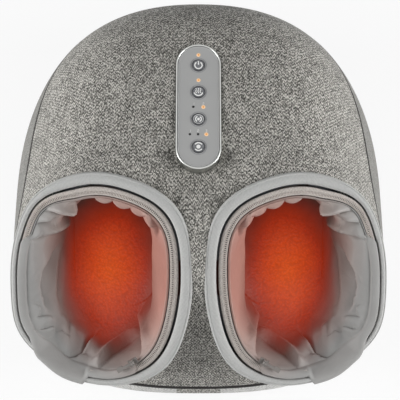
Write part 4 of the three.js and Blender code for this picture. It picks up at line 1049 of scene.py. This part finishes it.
def sleeve_place(u, v):
    """v runs from the hem over the rim's roll, then down the sleeve to the toe."""
    angle = TURN * u
    inset, over_zip, over_ring = lip_inset(angle)
    roll = hem_size(hem_rolls, over_zip, over_ring)
    over_ring_below = side_share(angle, lower_flap_side)
    if v < lip:
        along = v / lip
        crest = hem_size(hem_crests, over_zip, over_ring)
        flat = cuff_point(angle, mix(inset, rim_line(angle) + roll, along), 0)
        rounded = math.sin(math.pi * clamp(0.1 + 0.75 * along)) ** 0.6
        settle = mix(1.0, 1 - 0.85 * smooth_step(along), over_ring)
        sunk = mix(lip_dip * along, droop * along ** 1.6, mix(over_ring, over_ring_below, smooth_step(along)))
        return flat + cuff_normal * (crest * rounded * settle - sunk)
    share = ((v - lip) / (1 - lip)) ** length_crowding
    body = clamp(share / toe_share)
    inside = -roll * (1 - smooth_step(share / 0.03))
    hung = droop * over_ring_below * (1 - smooth_step(share / droop_until))
    place = sleeve_point(body, angle, inside) - cuff_normal * hung
    notch = notch_depth * over_zip * (1 - over_ring_below) * math.exp(-(share / notch_share - 1) ** 2)
    place -= cuff_normal * notch
    wrinkle = sum(noise.noise(place * count) * strength for count, strength in wrinkle_bands)
    place += (sleeve_point(body, angle, inside - 1 * MM) - place) * wrinkle * smooth_step(share / 0.04)
    if share < 0.5:
        place += fold_lift(place) * smooth_step(share / 0.015)
    if share > toe_share:
        end = (share - toe_share) / (1 - toe_share)
        middle = curve_at(bottom_path, 1).lerp(curve_at(top_path, 1), 0.5)
        place = middle + (place - middle) * math.cos(end * math.pi / 2)
        place.y += toe_cap * math.sin(end * math.pi / 2)
    return place


sleeve = mapped_grid("right_nylon_sleeve", 320, 144, sleeve_place)


# The painted glow and the pink of its light painted on the cloth round it, as ellipsoids on the right side:
# their middle and half sizes.
glow_middle = (89 * MM, -84 * MM, 66 * MM)
glow_size = (47 * MM, 74 * MM, 52 * MM)
glow_spill_middle = (60 * MM, -74 * MM, 110 * MM)
glow_spill_size = (64 * MM, 84 * MM, 70 * MM)
# Colours from the middle outwards; a ramp's place is half the distance in half sizes.
glow_stops = [(0.0, "cc4c14"), (0.2, "bb3c0e"), (0.36, "9a280a"), (0.5, "651808"), (0.6, "301008"),
              (0.74, "000000")]
# The cloth's own grey outside, turning pink inwards: painted spill of the glow's light.
cloth_and_spill_stops = [(0.0, "9a6555"), (0.38, "a07064"), (0.5, "a58379"), (0.64, "9d8f89"), (0.8, "959492")]
tone_spread = 0.06
glow_unevenness = 0.24


def painted_glow_finish(side, name):
    """Cloth over the heater: its own grey, with light painted on it: a painted pink spill of the glow,
    painted shade deeper in, then a painted deep red and orange glow towards the middle.
    """
    finish, tree, shader = new_finish(name)
    place = add_node(tree, "ShaderNodeTexCoord").outputs["Object"]

    def distance_from(middle, size):
        """How far a place lies from the middle of an ellipsoid, in its half sizes."""
        moved = vector_maths(tree, "SUBTRACT", place, (side * middle[0], *middle[1:]))
        scaled = vector_maths(tree, "MULTIPLY", moved, [1 / length for length in size])
        return add_node(tree, "ShaderNodeVectorMath", {0: scaled}, operation="LENGTH").outputs["Value"]

    def mapped(value, from_min, from_max, to_min, to_max):
        return add_node(tree, "ShaderNodeMapRange", {
            "Value": value, "From Min": from_min, "From Max": from_max, "To Min": to_min,
            "To Max": to_max}).outputs[0]

    # The painted glow is uneven, in clouds of about 33 mm. It lies under the embossed grain of 2.1 mm.
    cloud = add_node(tree, "ShaderNodeTexNoise",
                     {"Vector": place, "Scale": 30.0, "Detail": 5.0}).outputs["Fac"]
    distance = distance_from(glow_middle, glow_size)
    uneven = maths(tree, "MULTIPLY_ADD", cloud, glow_unevenness, -glow_unevenness / 2)
    glow_distance = maths(tree, "ADD", distance, uneven)
    glow_spill = distance_from(glow_spill_middle, glow_spill_size)
    glow, base = (add_node(tree, "ShaderNodeValToRGB", {0: maths(tree, "MULTIPLY", value, 0.5)})
                  for value in (glow_distance, glow_spill))
    set_stops(glow, glow_stops)
    set_stops(base, cloth_and_spill_stops)
    tone = mapped(cloud, 0.3, 0.7, 1 - tone_spread, 1 + tone_spread)
    # Close to the glow the cloth's colour is kept dark: painted shade deep in the pocket, which also keeps
    # the lamps from washing out the glow.
    painted_pocket_shade = mapped(distance, 0.8, 1.55, 0.08, 1.0)
    toned = add_node(tree, "ShaderNodeVectorMath",
                     {0: base.outputs[0], 3: maths(tree, "MULTIPLY", tone, painted_pocket_shade)}, operation="SCALE")
    wrinkles = add_node(tree, "ShaderNodeTexNoise",
                        {"Vector": place, "Scale": 90.0, "Detail": 4.0, "Distortion": 1.2})
    soft = add_node(tree, "ShaderNodeBump",
                    {"Height": wrinkles.outputs["Fac"], "Strength": 0.5, "Distance": 1 * MM})
    cells = add_node(tree, "ShaderNodeTexVoronoi", {"Vector": place, "Scale": 1 / (2.1 * MM)},
                     feature="SMOOTH_F1")
    glow_share = mapped(glow_distance, 1.0, 0.75, 0.0, 1.0)
    grain = add_node(tree, "ShaderNodeBump",
                     {"Height": cells.outputs["Distance"], "Distance": 0.6 * MM, "Strength": glow_share,
                      "Normal": soft.outputs[0]})
    grain_tone = mapped(cells.outputs["Distance"], 0.1, 0.7, 1.12, 0.82)
    strength = add_node(tree, "ShaderNodeMix", {0: glow_share, 2: 1.0, 3: grain_tone})
    tree.links.new(toned.outputs[0], shader.inputs["Base Color"])
    # The glow is painted in as emission: the cloth shines red and orange as if light came through it from
    # below.
    tree.links.new(glow.outputs[0], shader.inputs["Emission Color"])
    tree.links.new(strength.outputs[0], shader.inputs["Emission Strength"])
    tree.links.new(grain.outputs[0], shader.inputs["Normal"])
    shader.inputs["Roughness"].default_value = 0.6
    shader.inputs["Sheen Weight"].default_value = 0.12
    return finish


thicken(sleeve, 1.0 * MM, outwards=True)
left_sleeve = mirror_mesh(sleeve, "left_nylon_sleeve")
# Nylon taffeta: thin and smooth with a faint sheen, grey, with the light from below through the cloth painted
# in as a glow.
sleeve.data.materials.append(painted_glow_finish(1, "right_nylon_taffeta"))
left_sleeve.data.materials.append(painted_glow_finish(-1, "left_nylon_taffeta"))
for piece, side in ((sleeve, "right"), (left_sleeve, "left")):
    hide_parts(side + "_foot_sleeve")
    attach(piece, "case")


# Sole pads
# A heated pad of embossed soft leathercloth under each foot, over the kneading heads, which press it up into
# two low mounds. Its edges are skived thin and bonded to the sleeve.
pad_arc = (math.radians(-140), math.radians(-40))
pad_span = (0.25, 0.9)
pad_skive = 0.22
pad_foot = 2.4
pad_edge = 2.6
pad_crown = 1.6


def pad_place(u, v):
    """v runs over the top from one long edge to the other, then back underneath."""
    share = mix(*pad_span, u)
    top = v <= 0.5
    across = 2 * v if top else 2 - 2 * v
    edge = smooth_step(min(across, 1 - across, 1.6 * u, 1.6 * (1 - u)) / pad_skive)
    lift = (pad_edge + pad_crown * edge if top else pad_foot) * MM
    return sleeve_point(share, mix(*pad_arc, across), -lift)


sole_pad = mapped_grid("right_sole_pad", 80, 96, pad_place)
left_sole_pad = mirror_mesh(sole_pad, "left_sole_pad")
# Leathercloth with a fine embossed grain, seen only as an orange glow, which is painted in as emission.
for piece, side, turned in ((sole_pad, "right", 1), (left_sole_pad, "left", -1)):
    piece.data.materials.append(painted_glow_finish(turned, side + "_embossed_leathercloth"))
    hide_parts(side + "_sole_panel")
    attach(piece, "case")


# Air bags
# Bags of nylon coated with polyurethane, welded round their edges, that press on the instep and on the outer
# side of each foot. A cloth simulation with a little pressure inside swells each from its plain shape.
# Coated nylon film, dark with a low gloss, a little puckered.
bag_finish = plain_finish("welded_bag_film", "35363a", 0.45, 0.1 * MM, 3 * MM)
bag_voxel = 4 * MM
bag_pressure = 4.0
bag_steps = 20
bag_slack = 1.2 * MM
bag_cap = 1.0 * MM


def air_bag(node_name, name):
    """The bag's CAD solid, drawn in a little, then swollen as cloth and smoothed."""
    form = bmesh.new()
    form.from_mesh(frame["nodes"][node_name].data)
    bmesh.ops.remove_doubles(form, verts=form.verts, dist=0.01 * MM)
    bmesh.ops.recalc_face_normals(form, faces=form.faces)
    bag = finish_mesh(form, name)
    bag.data.materials.clear()
    remesh = bag.modifiers.new("remesh", "REMESH")
    remesh.mode = "VOXEL"
    remesh.voxel_size = bag_voxel
    apply_modifiers(bag)
    bag.data.update()
    for vert, inwards in [(vert, -vert.normal) for vert in bag.data.vertices]:
        vert.co += inwards * bag_slack
    # The cloth swells under pressure for a few steps, and no point may move further than the cap.
    cloth = bag.modifiers.new("cloth", "CLOTH")
    cloth.settings.use_pressure = True
    cloth.settings.uniform_pressure_force = bag_pressure
    cloth.settings.effector_weights.gravity = 0
    cloth.point_cache.frame_start = 1
    cloth.point_cache.frame_end = bag_steps
    start = [vert.co.copy() for vert in bag.data.vertices]
    for step in range(1, bag_steps + 1):
        bpy.context.scene.frame_set(step)
    swollen = bag.evaluated_get(bpy.context.evaluated_depsgraph_get()).to_mesh()
    moved = [vert.co.copy() for vert in swollen.vertices]
    bag.modifiers.remove(cloth)
    bpy.context.scene.frame_set(1)
    for vert, old, new in zip(bag.data.vertices, start, moved):
        shift = new - old
        vert.co = old + shift * min(1.0, bag_cap / max(shift.length, 1e-9))
    smooth_once(bag)
    bag.data.shade_smooth()
    return bag


for kind in ("instep", "side"):
    right_bag = air_bag("right_" + kind + "_air_bag", "right_" + kind + "_bag")
    left_bag = mirror_mesh(right_bag, "left_" + kind + "_bag")
    for bag, side in ((right_bag, "right"), (left_bag, "left")):
        bag.data.materials.clear()
        bag.data.materials.append(bag_finish)
        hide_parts(side + "_" + kind + "_air_bag")
        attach(bag, "case")


# Panel rim
# A ring of ABS with a satin chrome plating, clipped into the slot of the cover and the shell. It stands a
# little proud of the cloth, with a rounded top edge.
panel_steps = 220
# The rim's section as insets from the outline and heights over the panel's top, in millimetres.
rim_profile = [
    (0.0, -22), (0.0, -12), (0.0, -1.2), (0.15, -0.5), (0.5, -0.1), (1.1, 0.0), (1.6, -0.2), (1.75, -0.9),
    (1.75, -3.0), (1.75, -12), (1.75, -22),
]


def rim_place(u, v):
    """v runs round the rim's section."""
    inset, height = rim_profile[round(v * len(rim_profile)) % len(rim_profile)]
    return stadium_point(u % 1.0, inset * MM, panel_top + height * MM)


bezel = mapped_grid("chrome_rim", panel_steps, len(rim_profile), rim_place)
# Satin chrome on plastic: a bright metal whose soft reflections follow the rim's curve.
bezel.data.materials.append(plain_finish("satin_chrome", "c6c7c4", 0.28, metallic=1.0, spread=0.02))
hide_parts("panel_bezel")
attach(bezel, "case")


# Fascia
# A moulded plate of satin grey ABS that drops into the rim, with four round holes for the keys. It has a thin
# bright bead along its edge, and round each key a faint engraved ring, drawn as a flat ring of painted shade.
plate_top = panel_top - 0.8 * MM
plate_bottom = plate_top - 2.4 * MM
plate_inset = 2.1 * MM
key_radius = 6.2 * MM
key_gap = 0.3 * MM
key_places = [42 * MM, 14 * MM, -14 * MM, -42 * MM]
bead_inset = 2.45 * MM
ring_radius = 7.6 * MM
ring_width = 0.5 * MM
strip_thickness = 0.15 * MM
fascia = stadium_block("fascia", plate_inset, plate_bottom, plate_top)


def post(radius, bottom, top, x, y, segments=48):
    """A closed round block, to cut with."""
    form = bmesh.new()
    bmesh.ops.create_cone(form, cap_ends=True, segments=segments, radius1=radius, radius2=radius,
                          depth=top - bottom)
    bmesh.ops.translate(form, verts=form.verts, vec=(x, y, (top + bottom) / 2))
    return finish_mesh(form, "post", smooth=False)


for offset in key_places:
    carve(fascia, post(key_radius + key_gap, plate_bottom - 5 * MM, plate_top + 5 * MM, 0,
                       panel_place + offset))
# Moulded ABS with a satin paint: even, with a broad soft highlight and a very fine grain.
fascia.data.materials.append(plain_finish("satin_grey_fascia", "a7a7a6", 0.42, 0.02 * MM, 0.5 * MM,
                                          spread=0.015))
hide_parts("panel_plate")
edge_bead = mapped_grid("fascia_edge_bead", panel_steps, 8, lambda u, v: stadium_point(
    u % 1.0, bead_inset + 0.35 * MM * math.cos(TURN * v), plate_top + 0.3 * MM * math.sin(TURN * v)))
# Hot-stamped foil on the bead, a shade brighter than the paint.
edge_bead.data.materials.append(plain_finish("bright_fascia_edge", "b4b5b4", 0.35, spread=0.01))


def arc_strip(form, radius, width, start, end, y, height, steps=28):
    """A flat thin bar, bent round (0, y) from start to end degrees."""
    inner, outer = radius - width / 2, radius + width / 2
    begin = math.radians(start)
    verts = [form.verts.new((r * math.cos(begin), y + r * math.sin(begin), height + z))
             for r, z in ((inner, 0), (outer, 0), (outer, strip_thickness), (inner, strip_thickness))]
    face = form.faces.new(verts)
    full = end - start >= 360
    bmesh.ops.spin(form, geom=[face, *face.edges, *verts], cent=(0, y, 0), axis=(0, 0, 1),
                   angle=math.radians(min(360, end - start)), steps=steps, use_merge=full)
    if full and face.is_valid:
        bmesh.ops.delete(form, geom=[face], context="FACES_ONLY")


def close_form(form):
    """Joins doubled points and turns the faces outwards."""
    bmesh.ops.remove_doubles(form, verts=form.verts, dist=1e-6)
    bmesh.ops.recalc_face_normals(form, faces=form.faces)


key_rings = bmesh.new()
for offset in key_places:
    arc_strip(key_rings, ring_radius, ring_width, 0, 360, panel_place + offset, plate_top - 0.1 * MM, 48)
close_form(key_rings)
groove_shade = finish_mesh(key_rings, "key_ring_engraving", smooth=False)
# The paint is rougher in the engraved line, and the flat ring is darker: painted shade of the groove.
groove_shade.data.materials.append(plain_finish("engraved_ring_painted_shade", "85868a", 0.5, spread=0.01))
for piece in (fascia, edge_bead, groove_shade):
    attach(piece, "case")


# Keys and their symbols
# Four round caps of moulded ABS, each with a dished face, a darker rim, a flange under the fascia and a stem
# that stands over a switch on the board. A generic symbol is printed in white on each face.
key_names = ["power_button", "heat_button", "kneading_button", "pressure_button"]
key_rim_start = 4.7 * MM
symbol_height = plate_top + 0.62 * MM
print_thickness = 0.16 * MM
# Moulded ABS with a low gloss, mid grey on the face and nearly black on the rim.
key_grey = plain_finish("key_plastic", "747578", 0.35, spread=0.02)
key_dark = plain_finish("key_dark_rim", "414246", 0.4, spread=0.02)
# Pad-printed ink: a flat white.
symbol_white = plain_finish("symbol_print", "f1f1ef", 0.5, spread=0.01)


def spun(name, profile, x, y, segments=48):
    """A profile of (radius, height) turned round an upright axis."""
    form = bmesh.new()
    verts = [form.verts.new((radius, 0, height)) for radius, height in profile]
    edges = [form.edges.new(pair) for pair in zip(verts, verts[1:])]
    bmesh.ops.spin(form, geom=verts + edges, cent=(0, 0, 0), axis=(0, 0, 1), angle=TURN, steps=segments,
                   use_merge=True)
    close_form(form)
    bmesh.ops.translate(form, verts=form.verts, vec=(x, y, 0))
    return finish_mesh(form, name)


def key_body(name, offset):
    """One key: a shallow dished cap with a dark rim, a flange and a stem under it."""
    top = plate_top + 0.9 * MM
    flange_top = plate_bottom - 0.4 * MM
    flange_foot = plate_bottom - 1.5 * MM
    stem_foot = plate_bottom - 4.4 * MM
    key = spun(name, [
        (0, top - 0.45 * MM), (3.0 * MM, top - 0.4 * MM), (4.6 * MM, top - 0.3 * MM),
        (4.75 * MM, top - 0.12 * MM), (5.0 * MM, top), (5.7 * MM, top - 0.05 * MM),
        (6.1 * MM, top - 0.35 * MM), (key_radius, top - 0.9 * MM), (key_radius, flange_top),
        (7.3 * MM, flange_top), (7.3 * MM, flange_foot), (2.5 * MM, flange_foot), (2.5 * MM, stem_foot),
        (0, stem_foot),
    ], 0, panel_place + offset)
    key.data.materials.append(key_grey)
    key.data.materials.append(key_dark)
    for face in key.data.polygons:
        away = math.hypot(face.center.x, face.center.y - panel_place - offset)
        if away > key_rim_start or face.center.z < plate_top - 1 * MM:
            face.material_index = 1
    return key


def bar(form, width, length, x, y, turn=0.0):
    """A straight printed bar on the key's face."""
    placed = Matrix.Translation((x, y, symbol_height + print_thickness / 2)) @ Matrix.Rotation(turn, 4, "Z")
    bmesh.ops.create_cube(form, size=1, matrix=placed @ Matrix.Diagonal((width, length, print_thickness, 1)))


def dot(form, radius):
    """A round printed dot in the middle of the key's face."""
    bmesh.ops.create_cone(form, cap_ends=True, segments=24, radius1=radius, radius2=radius,
                          depth=print_thickness,
                          matrix=Matrix.Translation((0, 0, symbol_height + print_thickness / 2)))


def draw_power(form):
    """A ring open at the top, with a bar in the gap."""
    arc_strip(form, 3.5 * MM, 1.2 * MM, 122, 418, -0.2 * MM, symbol_height)
    bar(form, 1.2 * MM, 4.0 * MM, 0, 2.3 * MM)


def draw_heat(form):
    """Three wavy lines that rise from a bowl."""
    arc_strip(form, 4.2 * MM, 1.2 * MM, 196, 344, 0.4 * MM, symbol_height)
    for x in (-2.1 * MM, 0, 2.1 * MM):
        bar(form, 0.9 * MM, 2.3 * MM, x - 0.2 * MM, -0.3 * MM, 0.5)
        bar(form, 0.9 * MM, 2.3 * MM, x - 0.2 * MM, 1.5 * MM, -0.5)
        bar(form, 0.9 * MM, 1.6 * MM, x, 3.0 * MM, 0.5)


def draw_kneading(form):
    """A ring round two arcs and a dot, for the turning heads."""
    arc_strip(form, 4.9 * MM, 1.0 * MM, 0, 360, 0, symbol_height, 40)
    for start, end in ((110, 240), (290, 420)):
        arc_strip(form, 2.7 * MM, 1.1 * MM, start, end, 0, symbol_height)
    dot(form, 1.3 * MM)


def draw_pressure(form):
    """A dot between two arcs, for the bags that close on the foot."""
    for start, end in ((35, 145), (215, 325)):
        arc_strip(form, 3.9 * MM, 1.2 * MM, start, end, 0, symbol_height)
    dot(form, 2.0 * MM)


drawings = (draw_power, draw_heat, draw_kneading, draw_pressure)
for name, offset, draw in zip(key_names, key_places, drawings):
    key = key_body(name.replace("button", "key"), offset)
    symbol_form = bmesh.new()
    draw(symbol_form)
    bmesh.ops.translate(symbol_form, verts=symbol_form.verts, vec=(0, panel_place + offset, 0))
    close_form(symbol_form)
    symbol = finish_mesh(symbol_form, name.replace("button", "symbol"), smooth=False)
    symbol.data.materials.append(symbol_white)
    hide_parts(name)
    for piece in (key, symbol):
        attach(piece, name)


# Indicator lamps
# Small lenses of clear plastic, pressed into the fascia over light-emitting diodes: one over each of the
# upper two keys, two levels over the third and three over the last. Four are lit, as in the photo.
lens_height = 0.16 * MM
lens_depth = 0.5 * MM
lens_core = 0.85 * MM


def lamp_finish(name, colour, strength):
    """A lit lens: it shines in its own colour."""
    finish = plain_finish(name, colour, 0.3, spread=0.01)
    shader = finish.node_tree.nodes["Principled BSDF"]
    shader.inputs["Emission Color"].default_value = linear(colour)
    shader.inputs["Emission Strength"].default_value = strength
    return finish


# Diffusing plastic over an amber diode: a soft pale ring round a deeper middle. Unlit, the lens looks black.
amber_halo = lamp_finish("amber_lamp_halo", "dcb48a", 0.4)
amber_core = lamp_finish("amber_lamp_core", "d18c4c", 0.4)
unlit = plain_finish("unlit_lamp", "060606", 0.3, spread=0.01)
# Each lamp: its place across and along the panel in millimetres, and whether it is lit.
lamp_places = [(0, 53.0, True), (0, 26.4, True), (-4.9, -1.2, False), (4.6, -1.4, True),
               (-8.0, -29.2, False), (-0.3, -29.2, False), (7.4, -29.3, True)]
for number, (x, offset, lit) in enumerate(lamp_places):
    radius = 1.9 * MM if lit else 1.25 * MM
    lens = spun(f"indicator_{number + 1}", [
        (0, plate_top + lens_height), (lens_core, plate_top + 0.15 * MM),
        (radius * 0.9, plate_top + 0.1 * MM), (radius, plate_top + 0.02 * MM),
        (radius, plate_top - lens_depth), (0, plate_top - lens_depth),
    ], x * MM, panel_place + offset * MM, 20)
    lens.data.materials.append(amber_halo if lit else unlit)
    if lit:
        lens.data.materials.append(amber_core)
        for face in lens.data.polygons:
            away = math.hypot(face.center.x - x * MM, face.center.y - panel_place - offset * MM)
            if away < lens_core - 0.05 * MM:
                face.material_index = 1
    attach(lens, "case")


# Level numerals
# Plain numerals 1, 2 and 3 in a light ink, printed on the fascia over the two rows of level lamps. Each is
# built from the bars of a seven-part digit.
digit_width = 1.3
digit_half_height = 1.1
level_bar = (1.4, 0.42)
upright_bar = (0.42, 1.3)
# Each bar: its place across in digit widths and up in half heights, and whether it stands upright.
bars = {"top": (0, 1, 0), "upper_right": (0.5, 0.5, 1), "middle": (0, 0, 0), "lower_left": (-0.5, -0.5, 1),
        "lower_right": (0.5, -0.5, 1), "bottom": (0, -1, 0)}
numerals = {1: ["upper_right", "lower_right"], 2: ["top", "upper_right", "middle", "lower_left", "bottom"],
            3: ["top", "upper_right", "middle", "lower_right", "bottom"]}
numeral_places = [(1, -4.9, 1.9), (2, 4.6, 1.9), (1, -8.0, -25.6), (2, -0.3, -25.6), (3, 7.4, -25.6)]
numeral_form = bmesh.new()
for value, x, offset in numeral_places:
    for part in numerals[value]:
        across, up, upright = bars[part]
        placed = Matrix.Translation(((x + across * digit_width) * MM,
                                     panel_place + (offset + up * digit_half_height) * MM, plate_top))
        width, length = upright_bar if upright else level_bar
        bmesh.ops.create_cube(numeral_form, size=1, matrix=placed @ Matrix.Diagonal(
            (width * MM, length * MM, print_thickness, 1)))
numeral_print = finish_mesh(numeral_form, "level_numerals", smooth=False)
# Screen-printed ink: a flat pale grey.
numeral_print.data.materials.append(plain_finish("numeral_print", "dededc", 0.5, spread=0.01))
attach(numeral_print, "case")


# Finish of the CAD nodes that stay
# The moulded, cast and turned parts under the cloth, inside the case and under it keep their CAD shape: the
# shells, the drive, the air supply, the board and the inlet, the screws and feet, and the zip sliders.
node_finishes = {
    # ABS with a spark-eroded grain of 0.6 mm, dark and half matt.
    "shell_plastic": plain_finish("moulded_abs_shell", "55565a", 0.5, 0.05 * MM, 0.6 * MM),
    # Rubber, black and dull.
    "foot_rubber": plain_finish("moulded_rubber_foot", "1d1d1f", 0.85, 0.05 * MM, 0.8 * MM),
    # Steel with a bright zinc plating.
    "screw_steel": plain_finish("zinc_plated_screw", "a5a7aa", 0.35, metallic=1.0),
    # Cast zinc under grey paint, so it isn't seen as metal.
    "zip_metal": plain_finish("painted_zinc_slider", "77726e", 0.5, 0.02 * MM, 0.4 * MM),
    # Silicone tube, milky and smooth.
    "hose_rubber": plain_finish("silicone_hose", "c9c9c4", 0.4),
    # Acetal, a waxy off-white.
    "gear_acetal": plain_finish("moulded_acetal", "e4e1d8", 0.45, spread=0.02),
    # Deep-drawn steel, bright with soft reflections.
    "motor_steel": plain_finish("drawn_steel_can", "9a9ca0", 0.35, metallic=1.0),
    # Glass-filled nylon, dark with a fine grain.
    "head_plastic": plain_finish("moulded_nylon_head", "3c3e44", 0.5, 0.03 * MM, 0.5 * MM),
    # Epoxy board under green solder mask.
    "circuit_board": plain_finish("solder_mask", "1f5a38", 0.4, 0.02 * MM, 1 * MM),
    # Black nylon, half matt.
    "inlet_plastic": plain_finish("moulded_inlet", "1d1d1f", 0.5, 0.02 * MM, 0.5 * MM),
}
for part in frame["record"]["subparts"]:
    node = frame["nodes"][part["node"]]
    finish = node_finishes.get(part["material_slot"])
    if finish and not node.hide_render:
        node.data.materials.clear()
        node.data.materials.append(finish)
